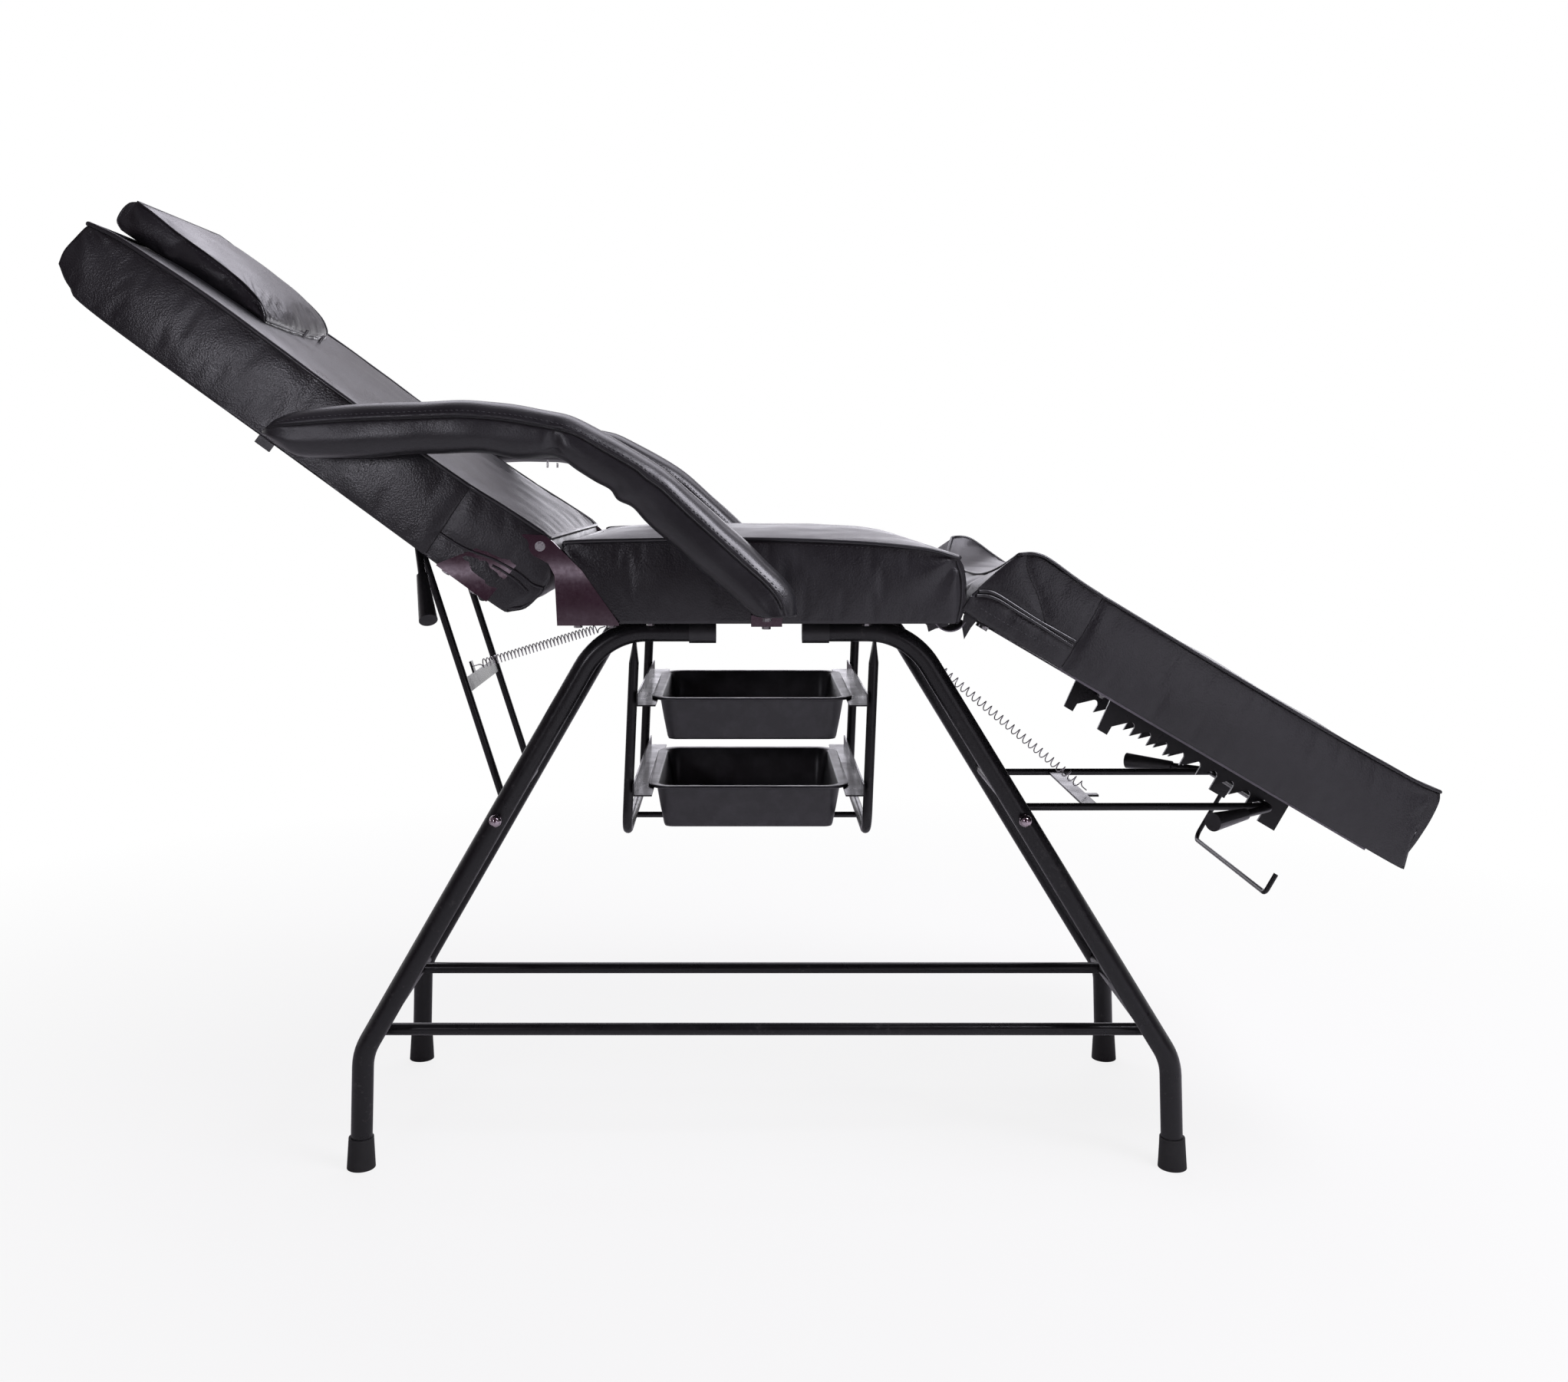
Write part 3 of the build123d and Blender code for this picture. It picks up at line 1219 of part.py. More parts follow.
def tray_tie_bar():
    """Bar along the chair between the low runs of the two frames."""
    height = TRAY_FRAME_LOW - TIE_BAR_DROP
    low = (tray_frame_x(-1, height), TIE_BAR_Y, height)
    high = (tray_frame_x(1, height), TIE_BAR_Y, height)
    bar = rod(low, high, TIE_BAR_DIAMETER)
    for side in (-1, 1):
        x = tray_frame_x(side, TRAY_FRAME_LOW)
        near = (x, TIE_BAR_Y - OVERRUN, TRAY_FRAME_LOW)
        far = (x, TIE_BAR_Y + OVERRUN, TRAY_FRAME_LOW)
        bar = bar - rod(near, far, TRAY_FRAME_TUBE)
    return max(bar.solids(), key=lambda piece: piece.volume)


# Roll holder and its sockets

def holder_bush():
    """Tapered plastic socket under the leg rest, between the racks."""
    wide = HOLDER_BUSH_DIAMETER * HALF
    hanging = (Align.CENTER, Align.CENTER, Align.MAX)
    standing = (Align.CENTER, Align.CENTER, Align.MIN)
    bush = Cone(wide * BUSH_SHARE, wide, HOLDER_BUSH_LENGTH, align=hanging)
    bore_radius = HOLDER_WIRE * HALF + PIN_CLEARANCE
    bore = Cylinder(bore_radius, HOLDER_BUSH_LENGTH - HOLDER_WIRE, align=standing)
    return bush - Pos(0, 0, -HOLDER_BUSH_LENGTH) * bore


def leg_holder_bush():
    along = LEG_REST_LENGTH - HOLDER_SETBACK
    return place(leg_rest_plane(), Pos(along, HOLDER_Y, 0) * holder_bush())


def back_holder_bush():
    """The same socket, empty, under the back."""
    return place(back_plane(), Pos(SOCKET_ALONG, SOCKET_Y, -BACK_PIVOT_ABOVE_BOARD) * holder_bush())


def roll_holder():
    """Bent wire: up into its bush, down, out to the sitter's right, and a short turned-up tip."""
    top = HOLDER_WIRE * 2 - HOLDER_BUSH_LENGTH
    low = -HOLDER_BUSH_LENGTH - HOLDER_DROP
    along = LEG_REST_LENGTH - HOLDER_SETBACK
    points = [
        (along, HOLDER_Y, top), (along, HOLDER_Y, low), (along, HOLDER_Y - HOLDER_REACH, low),
        (along, HOLDER_Y - HOLDER_REACH, low + HOLDER_TIP),
    ]
    return place(leg_rest_plane(), bent_rod(points, [HOLDER_BEND, HOLDER_BEND * HALF], HOLDER_WIRE))


def vinyl_flap():
    """Strip of cover that hangs in a loop under the seat's front, cut out round the hinges."""
    start = SEAT_FRONT_X - FLAP_START
    stop = SEAT_FRONT_X + FLAP_REACH
    middle = SEAT_FRONT_X - FLAP_REACH
    thick = FLAP_THICKNESS
    drop = BOARD_LOW - FLAP_DROP
    outer = ThreePointArc((start, BOARD_LOW), (middle, drop), (stop, BOARD_LOW))
    inner_ends = [(stop - thick, BOARD_LOW), (start + thick, BOARD_LOW)]
    inner = ThreePointArc(inner_ends[0], (middle, drop + thick), inner_ends[1])
    ends = [Line(outer @ 1, inner @ 0), Line(inner @ 1, outer @ 0)]
    face = make_face(Curve() + [outer, inner] + ends)
    strips = [extrude(side_plane(-FLAP_INNER) * face, amount=FLAP_INNER * 2, dir=(0, 1, 0))]
    strips += both_sides(extrude(side_plane(FLAP_OUTER) * face, amount=FLAP_EDGE - FLAP_OUTER, dir=(0, 1, 0)))
    return strips


# Parts

def save(name, shape):
    solids = shape if isinstance(shape, list) else [shape]
    moved = [Pos(shift_to_middle(), 0, 0) * solid for solid in solids]
    body = moved[0] if len(moved) == 1 else Compound(children=moved)
    body.label = name
    export_step(body, os.path.join("parts", name + ".step"))


def main():
    os.makedirs("parts", exist_ok=True)
    for end, end_name in ((-1, "head"), (1, "foot")):
        for side, side_name in ((-1, "right"), (1, "left")):
            save("leg_" + end_name + "_" + side_name, leg_tube(end, side))
    save("rubber_feet", rubber_feet())
    save("leg_end_caps", leg_end_caps())
    save("cross_members", cross_members())
    save("stretcher_bars", stretcher_bars())
    save("seat_rails", seat_rails())
    save("frame_bolts", rail_bolts() + seat_plate_bolts() + armrest_bolts() + tray_frame_bolts())
    save("pivot_rods", [pivot_rod(-1), pivot_rod(1)])
    save("acorn_nuts", acorn_nuts())
    save("spring_anchors", spring_anchors())
    save("seat_board", seat_board())
    save("seat_cushion", seat_cushion())
    save("seat_hinge_plates", seat_hinge_plates())
    save("back_hinge_pins", back_hinge_pins())
    save("seat_hinge_leaves", seat_leaves())
    save("leg_hinge_pins", leg_hinge_pins())
    save("vinyl_flap", vinyl_flap())
    save("armrest_right", armrest(-1))
    save("armrest_left", armrest(1))
    save("armrest_straps", armrest_straps())
    save("armrest_pins", armrest_pins())
    save("tray_frame_head", tray_frame(-1))
    save("tray_frame_foot", tray_frame(1))
    save("tray_rails", tray_rails())
    save("tray_tie_bar", tray_tie_bar())
    save("tray_upper", tray(TRAY_UPPER_HEIGHT))
    save("tray_lower", tray(TRAY_LOWER_HEIGHT))
    save("back_board", back_board())
    save("back_cushion", back_cushion())
    save("back_hinge_plates", back_hinge_plates())
    save("back_racks", back_racks())
    save("back_bolts", back_plate_bolts() + back_rack_bolts())
    save("back_holder_socket", back_holder_bush())
    save("head_pillow", pillow())
    save("pillow_pins", pillow_pins())
    save("leg_rest_board", leg_rest_board())
    save("leg_rest_cushion", leg_rest_cushion())
    save("leg_rest_leaves", leg_leaves())
    save("leg_rest_racks", leg_rest_racks())
    save("leg_rest_bolts", leaf_screws() + leg_rack_bolts())
    save("holder_socket", leg_holder_bush())
    save("roll_holder", roll_holder())
    for end, name in ((-1, "back"), (1, "leg")):
        save(name + "_strut_sleeve", strut_sleeve(end))
        save(name + "_strut_rods", strut_rods(end))
        save(name + "_strut_crossbar", strut_crossbar(end))
        save(name + "_strut_plate", strut_plate(end))
        save(name + "_strut_grips", strut_grips(end))
        save(name + "_spring", spring(end))
    shift = shift_to_middle()
    print("shift", round(shift, 1))
    print("back pivot", round(BACK_PIVOT_X + shift, 2), BACK_PIVOT_Z)
    print("leg rest pivot", round(LEG_PIVOT_X + shift, 2), LEG_PIVOT_Z)
    for end in (-1, 1):
        x, z = pivot_point(end)
        print("strut pivot", end, round(x + shift, 2), z, "length", round(strut_length(end), 1))


main()
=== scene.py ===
# Looks of a three-section reclining treatment chair, in metres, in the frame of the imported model:
# +Z up, the head end at -X, the sitter's right side and the camera at -Y.
import json
import math

import bpy
import numpy as np
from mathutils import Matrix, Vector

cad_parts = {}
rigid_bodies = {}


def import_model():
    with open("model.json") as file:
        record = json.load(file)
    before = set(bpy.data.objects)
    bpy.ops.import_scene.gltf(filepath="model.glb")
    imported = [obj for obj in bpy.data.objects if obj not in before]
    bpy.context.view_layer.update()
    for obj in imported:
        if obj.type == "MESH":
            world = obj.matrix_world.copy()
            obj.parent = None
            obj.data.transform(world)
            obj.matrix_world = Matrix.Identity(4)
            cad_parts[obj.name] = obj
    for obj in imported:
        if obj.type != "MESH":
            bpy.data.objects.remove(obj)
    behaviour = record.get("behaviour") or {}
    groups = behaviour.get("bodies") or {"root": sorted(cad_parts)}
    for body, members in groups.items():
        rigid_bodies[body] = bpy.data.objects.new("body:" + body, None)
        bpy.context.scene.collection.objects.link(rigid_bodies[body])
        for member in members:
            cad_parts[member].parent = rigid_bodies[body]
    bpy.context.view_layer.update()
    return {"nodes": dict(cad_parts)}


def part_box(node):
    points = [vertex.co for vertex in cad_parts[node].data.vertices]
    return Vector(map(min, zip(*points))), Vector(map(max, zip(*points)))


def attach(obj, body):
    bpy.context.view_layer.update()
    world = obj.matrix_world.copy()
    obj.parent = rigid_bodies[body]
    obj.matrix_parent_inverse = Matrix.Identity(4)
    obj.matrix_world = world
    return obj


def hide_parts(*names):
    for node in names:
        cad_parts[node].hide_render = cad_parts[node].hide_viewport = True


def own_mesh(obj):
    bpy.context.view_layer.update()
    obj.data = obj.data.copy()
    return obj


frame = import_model()

MM = 0.001

# Where the tilted sections lie: the hinge line and the slope of each
SHIFT = 20.9 * MM
BACK_HINGE = (-279.7 * MM + SHIFT, 813.0 * MM)
BACK_SLOPE = math.radians(36.0)
LEG_HINGE = (246.0 * MM + SHIFT, 730.0 * MM)
LEG_SLOPE = math.radians(30.5)
HALF_WIDTH = 295.0 * MM

# The chair's two sides: the sign of Y and the name
SIDES = ((-1, "right"), (1, "left"))

# Camera
PHOTO_WIDTH = 2044
PHOTO_HEIGHT = 1801
FOCAL_PIXELS = 1950.0
SENSOR = 36.0
VANISH_X = 968.0
VANISH_Y = 631.0
CAMERA_PLACE = (-31.5 * MM + SHIFT, -2135.0 * MM, 889.0 * MM)
NEAREST_SEEN = 0.05

# Piping and thread
PIPING_RADIUS = 2.6 * MM
STITCH_LENGTH = 4.2 * MM
STITCH_GAP = 2.0 * MM
STITCH_RADIUS = 0.45 * MM
STITCH_SIDES = 6

# Rings along a stitch: places as shares of half its length, widths and heights as shares of its radius
STITCH_PLACES = np.array([-1.0, -0.7, 0.0, 0.7, 1.0])
STITCH_WIDTHS = np.array([0.25, 0.8, 1.0, 0.8, 0.25])
STITCH_HEIGHTS = np.array([-1.0, 0.0, 0.5, 0.0, -1.0])

# Stands in for zero in a divisor
TINY = 1e-12


# Placing

def in_section(hinge, slope, towards_head, along, across, out):
    """Points of a tilted section: hinge + along * (the slope's direction) + out * (its normal)."""
    side = -1.0 if towards_head else 1.0
    x = hinge[0] + side * along * math.cos(slope) + out * math.sin(slope)
    z = hinge[1] - side * along * math.sin(slope) + out * math.cos(slope)
    return np.stack(np.broadcast_arrays(x, across, z), axis=-1)


def on_seat(along, across, out):
    """The seat lies level: along is X from the middle of the legs, out is the height."""
    return np.stack(np.broadcast_arrays(along + SHIFT, across, out), axis=-1)


def on_back(along, across, out):
    return in_section(BACK_HINGE, BACK_SLOPE, True, along, across, out)


def on_leg_rest(along, across, out):
    return in_section(LEG_HINGE, LEG_SLOPE, False, along, across, out)


# Curves and surfaces

def through(points, count):
    """A smooth line through the given points: Catmull-Rom pieces, sampled evenly in the piece number."""
    knots = np.asarray(points, float) * MM
    before = 2 * knots[:1] - knots[1:2]
    after = 2 * knots[-1:] - knots[-2:-1]
    padded = np.concatenate([before, knots, after])
    place = np.linspace(0, len(knots) - 1, count)
    piece = np.minimum(place.astype(int), len(knots) - 2)
    t = (place - piece)[:, None]
    a, b, c, d = (padded[piece + step] for step in range(4))
    return b + (t * (c - a) + t ** 2 * (2 * a - 5 * b + 4 * c - d) + t ** 3 * (3 * b - a - 3 * c + d)) / 2


def evenly(points, count):
    """The same line with its samples an equal length apart."""
    steps = np.linalg.norm(np.diff(points, axis=0), axis=1)
    length = np.concatenate([[0], np.cumsum(steps)])
    wanted = np.linspace(0, length[-1], count)
    return np.stack([np.interp(wanted, length, points[:, axis]) for axis in range(points.shape[1])], axis=-1)


def full_turn(count):
    """Angles round a circle in equal steps."""
    return np.linspace(0, 2 * math.pi, count, endpoint=False)


def unit(vectors):
    return vectors / np.maximum(np.linalg.norm(vectors, axis=-1, keepdims=True), TINY)


def quads(rows, columns):
    """Four-sided faces between rows of points, numbered row by row, where each row closes on itself."""
    row = np.arange(rows - 1)[:, None] * columns
    column = np.arange(columns)[None, :]
    next_column = (column + 1) % columns
    corners = [row + column, row + columns + column, row + columns + next_column, row + next_column]
    return np.stack([corner.ravel() for corner in corners], axis=-1)


def enclosed(points, faces, caps=()):
    """The space in a closed mesh, below 0 if its faces point inwards: the sum of area vector * middle / 3."""
    a, b, c, d = (points[faces[:, corner]] for corner in range(4))
    total = np.sum(np.cross(c - a, d - b) * (a + b + c + d)) / 24
    for cap in caps:
        rim = points[list(cap)]
        area = np.cross(rim, np.roll(rim, -1, axis=0)).sum(axis=0) / 2
        total += area @ rim.mean(axis=0) / 3
    return total


def shell(rings):
    """Faces of a stack of rings, closed at both ends and facing outwards."""
    rows, sides = rings.shape[:2]
    faces = quads(rows, sides)
    caps = [np.arange(sides), (rows - 1) * sides + np.arange(sides)[::-1]]
    if enclosed(rings.reshape(-1, 3), faces, caps) < 0:
        faces = faces[:, ::-1]
        caps = [cap[::-1] for cap in caps]
    return [faces, caps]


def placed(name, data):
    """A new object in the scene."""
    thing = bpy.data.objects.new(name, data)
    bpy.context.scene.collection.objects.link(thing)
    return thing


def piece(name, points, faces, finish, body, smooth=True):
    """A mesh object from points and lists of faces, in its finish, riding on a body."""
    mesh = bpy.data.meshes.new(name)
    corners = [list(map(int, face)) for group in faces for face in group]
    mesh.from_pydata(np.asarray(points, float).reshape(-1, 3).tolist(), [], corners)
    mesh.polygons.foreach_set("use_smooth", [smooth] * len(mesh.polygons))
    mesh.update()
    thing = placed(name, mesh)
    mesh.materials.append(finish)
    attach(thing, body)
    return thing


def tube(name, path, radius, finish, body, sides=10, across=(0.0, 1.0, 0.0)):
    """A round cord along a path, closed at both ends. The path never runs along the across vector."""
    along = unit(np.gradient(path, axis=0))
    upright = unit(np.cross(along, np.asarray(across, float)))
    sideways = np.cross(upright, along)
    angle = full_turn(sides)[None, :, None]
    ring = np.cos(angle) * upright[:, None, :] + np.sin(angle) * sideways[:, None, :]
    rings = path[:, None, :] + radius * ring
    piece(name, rings, shell(rings), finish, body)


def stitch_count(path):
    """How many stitches a path has room for."""
    length = np.linalg.norm(np.diff(path, axis=0), axis=1).sum()
    return max(int(length / (STITCH_LENGTH + STITCH_GAP)), 2)


def stitches(name, path, outward, body):
    """Thread: short lozenges in a row along a path, their middles a little proud."""
    count = stitch_count(path)
    middles = evenly(path, count * 2 + 1)[1::2]
    along = unit(np.gradient(middles, axis=0))
    outward = unit(np.broadcast_to(np.asarray(outward, float), middles.shape))
    aside = unit(np.cross(outward, along))
    spine = middles[:, None, :] + along[:, None, :] * (STITCH_PLACES * STITCH_LENGTH / 2)[None, :, None]
    spine = spine + outward[:, None, :] * (STITCH_HEIGHTS * STITCH_RADIUS)[None, :, None]
    angle = full_turn(STITCH_SIDES)[:, None]
    ring = np.cos(angle) * outward[:, None, None, :] + np.sin(angle) * aside[:, None, None, :]
    points = spine[:, :, None, :] + ring * (STITCH_WIDTHS * STITCH_RADIUS)[None, :, None, None]
    rings = len(STITCH_PLACES)
    starts = np.arange(count) * rings * STITCH_SIDES
    faces = (starts[:, None, None] + quads(rings, STITCH_SIDES)[None]).reshape(-1, 4)
    first_ring = np.arange(STITCH_SIDES)
    caps = [start + first_ring for start in starts]
    caps += [start + (rings - 1) * STITCH_SIDES + first_ring[::-1] for start in starts]
    piece(name, points, [faces, caps], THREAD, body)


# Waves and shares

WAVE_COUNT = 14


def waves(points, size, seed):
    """Smooth lumps, mostly within -1 to 1: a sum of sine waves of about one size in random directions."""
    random = np.random.default_rng(seed)
    heading = unit(random.normal(size=(WAVE_COUNT, 3)))
    spread = random.uniform(0.7, 1.5, WAVE_COUNT)
    phase = random.uniform(0, 2 * math.pi, WAVE_COUNT)
    angle = points @ (heading * (2 * math.pi / size * spread[:, None])).T + phase
    return np.sin(angle).sum(axis=-1) / math.sqrt(WAVE_COUNT)


def soft_share(value, low, high):
    """0 below low, 1 above high, an even S-curve between."""
    t = np.clip((value - low) / (high - low), 0, 1)
    return t * t * (3 - 2 * t)


def bell(distance, width):
    """1 at no distance and close to 0 beyond twice the width."""
    return np.exp(-(distance / width) ** 2)


def face_normals_at(points, faces):
    """The direction each point faces: the sum of its faces' cross products, at unit length."""
    a, b, c, d = (points[faces[:, corner]] for corner in range(4))
    normal = np.cross(c - a, d - b)
    total = np.zeros_like(points)
    for corner in range(4):
        np.add.at(total, faces[:, corner], normal)
    return unit(total)


# Pads

OUTLINE_SAMPLES = 400
PANEL_BULGE = 3.0 * MM

# How flat a side panel's bulge stays, as powers: up the panel and along it
BULGE_UP = 2.6
BULGE_ALONG = 14


class Pad:
    """A closed cushion: a side outline of four edges, carried across the width and closed by two side panels.

    Each edge is a line of (along, out) points in millimetres: under the pad and over it from the rear to the
    front, up the front and up the rear. The middle outline may differ from the side one. A point across the
    width is middle + (side - middle) * |share| ** power. The samples are counts along, up and across.
    self.side is -1 or 1 on the side panels with their rims, and 0 elsewhere.
    """

    def __init__(self, side, middle, power=2.4, half_width=HALF_WIDTH, samples=(150, 26, 72)):
        length_count, end_count, self.rows = samples
        self.counts = (length_count, end_count, length_count, end_count)
        self.half_width = half_width
        self.loop = length_count * 2 + end_count * 2 - 4
        self.panel_start = self.rows * self.loop
        self.outer = self.outline(side)
        inner = self.outline(middle)
        share = np.sin(np.linspace(-1, 1, self.rows) * math.pi / 2)
        weight = np.abs(share)[:, None, None] ** power
        outline = inner[None] + (self.outer - inner)[None] * weight
        across = np.broadcast_to((share * half_width)[:, None], outline.shape[:2])
        sheet = np.stack([outline[..., 0], across, outline[..., 1]], axis=-1).reshape(-1, 3)
        panels = [self.panel(sign) for sign, _ in SIDES]
        self.points = np.concatenate([sheet] + panels)
        near = self.panel_faces(0, self.panel_start)
        far = self.panel_faces(self.panel_start - self.loop, self.panel_start + len(panels[0]))[:, ::-1]
        self.faces = np.concatenate([quads(self.rows, self.loop), near, far])
        inner_count = len(panels[0])
        counts = [self.loop, (self.rows - 2) * self.loop, self.loop, inner_count, inner_count]
        self.side = np.repeat([-1, 0, 1, -1, 1], counts)

    def outline(self, edges):
        """The four edges as one loop: along below, up the front, back over the top and down the rear."""
        low, front, top, rear = (
            evenly(through(edge, OUTLINE_SAMPLES), count) for edge, count in zip(edges, self.counts)
        )
        return np.concatenate([low[:-1], front[:-1], top[:0:-1], rear[:0:-1]])

    def corners(self):
        """The outline's numbering split into its four edges, as index lists with both ends."""
        a, b = self.counts[0] - 1, self.counts[1] - 1
        low = np.arange(0, a + 1)
        front = np.arange(a, a + b + 1)
        top = np.arange(a + b, a + b + a + 1)[::-1]
        rear = np.concatenate([np.arange(a + b + a, self.loop), [0]])[::-1]
        return low, front, top, rear

    def panel(self, sign):
        """Inner points of a side panel: the four edges blended (a Coons patch), bulging out in the middle."""
        low, front, top, rear = (self.outer[index] for index in self.corners())
        a = np.linspace(0, 1, len(low))[:, None, None]
        w = np.linspace(0, 1, len(front))[None, :, None]
        flat = (1 - w) * low[:, None] + w * top[:, None] + (1 - a) * rear[None] + a * front[None]
        flat = flat - (
            (1 - a) * (1 - w) * low[0] + a * (1 - w) * low[-1] + (1 - a) * w * top[0] + a * w * top[-1]
        )
        swell = PANEL_BULGE * (1 - np.abs(2 * w - 1) ** BULGE_UP) * (1 - np.abs(2 * a - 1) ** BULGE_ALONG)
        y = sign * (self.half_width + swell[..., 0])
        grid = np.stack([flat[..., 0], np.broadcast_to(y, flat.shape[:2]), flat[..., 1]], axis=-1)
        return grid[1:-1, 1:-1].reshape(-1, 3)

    def panel_faces(self, ring_start, inner_start):
        """Faces of a side panel between the outline's points and the panel's own."""
        low, front, top, rear = self.corners()
        count_a, count_w = len(low), len(front)
        number = np.empty((count_a, count_w), int)
        number[:, 0] = ring_start + low
        number[:, -1] = ring_start + top
        number[0, :] = ring_start + rear
        number[-1, :] = ring_start + front
        inner = np.arange((count_a - 2) * (count_w - 2)).reshape(count_a - 2, count_w - 2)
        number[1:-1, 1:-1] = inner_start + inner
        corners = [number[:-1, :-1], number[1:, :-1], number[1:, 1:], number[:-1, 1:]]
        return np.stack([corner.ravel() for corner in corners], axis=-1)


# Finishes

class Flow:
    """What comes out of a node: a socket that sums and products can be written on."""

    def __init__(self, nodes, socket):
        self.nodes = nodes
        self.socket = socket

    def maths(self, operation, other):
        return self.nodes.node("Math", {0: self, 1: other}, operation=operation)

    def __add__(self, other):
        return self.maths("ADD", other)

    def __mul__(self, other):
        return self.maths("MULTIPLY", other)


class Nodes:
    """The node tree of a material or of the world."""

    def __init__(self, owner):
        owner.use_nodes = True
        self.tree = owner.node_tree

    def feed(self, socket, value):
        """Links what comes out of a node, or sets a value. Colours have three parts."""
        if isinstance(value, Flow):
            self.tree.links.new(value.socket, socket)
        elif socket.type == "RGBA":
            socket.default_value = (*value, 1.0)
        else:
            socket.default_value = value

    def node(self, kind, sockets=None, output=0, **settings):
        """Any shader node: its settings first, then the values or links of its sockets."""
        made = self.tree.nodes.new("ShaderNode" + kind)
        for name, value in settings.items():
            setattr(made, name, value)
        for name, value in (sockets or {}).items():
            self.feed(made.inputs[name], value)
        return Flow(self, made.outputs[output])

    def spread(self, value, low, high, new_low=0.0, new_high=1.0):
        """The value with low..high carried to new_low..new_high, and no further."""
        sockets = {"Value": value, "From Min": low, "From Max": high, "To Min": new_low, "To Max": new_high}
        return self.node("MapRange", sockets)

    def blend(self, share, first, second):
        """A colour between two colours."""
        return self.node("Mix", {"Factor": share, 6: first, 7: second}, 2, data_type="RGBA")


class Finish(Nodes):
    """A material round one Principled shader, with patterns on Object coordinates."""

    def __init__(self, name, colour, roughness, **constants):
        self.material = bpy.data.materials.new(name)
        super().__init__(self.material)
        self.shader = self.tree.nodes["Principled BSDF"]
        self.set(Base_Color=colour, Roughness=roughness, **constants)
        self.place = self.node("TexCoord", output="Object")

    def set(self, **values):
        """Feeds the shader's sockets, whose names are written with _ for a space."""
        for name, value in values.items():
            self.feed(self.shader.inputs[name.replace("_", " ")], value)

    def noise(self, size, detail=3.0, rough=0.5, place=None):
        """Cloudy noise from 0 to 1, with lumps of about the given size in metres."""
        sockets = {"Vector": place or self.place, "Scale": 1 / size, "Detail": detail, "Roughness": rough}
        return self.node("TexNoise", sockets)

    def bump(self, height, depth, strength, under=None):
        """Raises the surface by height times depth, in metres, on top of another bump."""
        sockets = {"Height": height, "Distance": depth, "Strength": strength}
        if under is not None:
            sockets["Normal"] = under
        return self.node("Bump", sockets)

    def dressed(self, share, first, second, roughness, normal):
        """The material, with a base colour between two colours, its roughness and its bump."""
        self.set(Base_Color=self.blend(share, first, second), Roughness=roughness, Normal=normal)
        return self.material


def vinyl(name, colour, roughness, depth=1.0):
    """Upholstery vinyl: fine pebbles, creases, faint waves and worn patches."""
    finish = Finish(name, colour, roughness, Specular_IOR_Level=0.66)
    pebbles = finish.node("TexVoronoi", {"Vector": finish.place, "Scale": 1 / (2.4 * MM)}, "Distance")
    fine = finish.noise(0.9 * MM)
    wear = finish.noise(110 * MM, detail=4.0, rough=0.6)
    waves_wide = finish.noise(38 * MM, detail=2.0, rough=0.4)
    creases = finish.noise(9 * MM, rough=0.55)
    dusty = tuple(value * 1.5 + 0.004 for value in colour)
    rough = finish.spread(wear, 0.3, 0.7, roughness - 0.07, roughness + 0.06)
    soft = finish.bump(waves_wide, 0.8 * MM * depth, 0.5)
    creased = finish.bump(creases, 0.25 * MM * depth, 0.5, soft)
    grained = finish.bump(pebbles + fine * 0.6, 0.3 * MM * depth, 0.6, creased)
    return finish.dressed(finish.spread(wear, 0.45, 0.75), colour, dusty, rough, grained)


def thread(name, colour):
    """Matt sewing thread with a fine twist."""
    finish = Finish(name, colour, 0.6)
    twist = finish.node("TexWave", {"Vector": finish.place, "Scale": 500.0}, bands_direction="DIAGONAL")
    finish.set(Normal=finish.bump(twist, 0.08 * MM, 0.7))
    return finish.material


def gloss_paint():
    """Black paint on tube: a thin clear coat, slight orange peel, dust and rubbed spots."""
    coat = {"Coat_Weight": 0.15, "Coat_Roughness": 0.15, "Specular_IOR_Level": 0.3}
    finish = Finish("gloss_black_paint", (0.010, 0.010, 0.011), 0.34, **coat)
    peel = finish.noise(2.4 * MM, detail=2.0, rough=0.4)
    dust = finish.noise(55 * MM, detail=5.0, rough=0.65)
    scuffs = finish.noise(7 * MM, detail=4.0, rough=0.7)
    worn = finish.spread(scuffs * dust, 0.33, 0.42)
    rough = finish.spread(dust, 0.35, 0.7, 0.24, 0.42) + worn * 0.12
    peeled = finish.bump(peel, 0.03 * MM, 0.35)
    return finish.dressed(worn, (0.011, 0.011, 0.012), (0.035, 0.034, 0.034), rough, peeled)


def chrome():
    """Chromed plate: mirror bright, lightly clouded brown; the rose tint and the brown clouds are painted
    reflection.
    """
    # The plate's colour carries a rose tint of painted reflection
    clean = (0.50, 0.43, 0.47)
    finish = Finish("chromed_steel", clean, 0.08, Metallic=1.0)
    cloud = finish.noise(24 * MM, detail=4.0, rough=0.6)
    smear = finish.noise(6 * MM, detail=5.0, rough=0.7)
    # Where the brown of the painted reflection shows, in clouds and smears
    brown_reflection_share = finish.spread(cloud * 0.7 + smear * 0.3, 0.42, 0.66)
    rough = finish.spread(smear, 0.3, 0.75, 0.04, 0.1)
    uneven = finish.bump(finish.noise(90 * MM, detail=0.0), 0.06 * MM, 0.3)
    return finish.dressed(brown_reflection_share, clean, (0.38, 0.30, 0.33), rough, uneven)


def bright_metal(name, colour, roughness, cloud, clean, dull, polish, grain):
    """Bright metal with a fine grain, under clouds of bloom or oil that dull it.

    Clean gives where the clouds' colour begins and the metal's own; polish, the least and most roughness.
    """
    finish = Finish(name, colour, roughness, Metallic=1.0)
    bloom = finish.noise(*cloud)
    rough = finish.spread(bloom, 0.3, 0.7, *polish)
    grained = finish.bump(finish.noise(*grain), 0.02 * MM, 0.5)
    return finish.dressed(finish.spread(bloom, clean[0], 0.7), clean[1], dull, rough, grained)


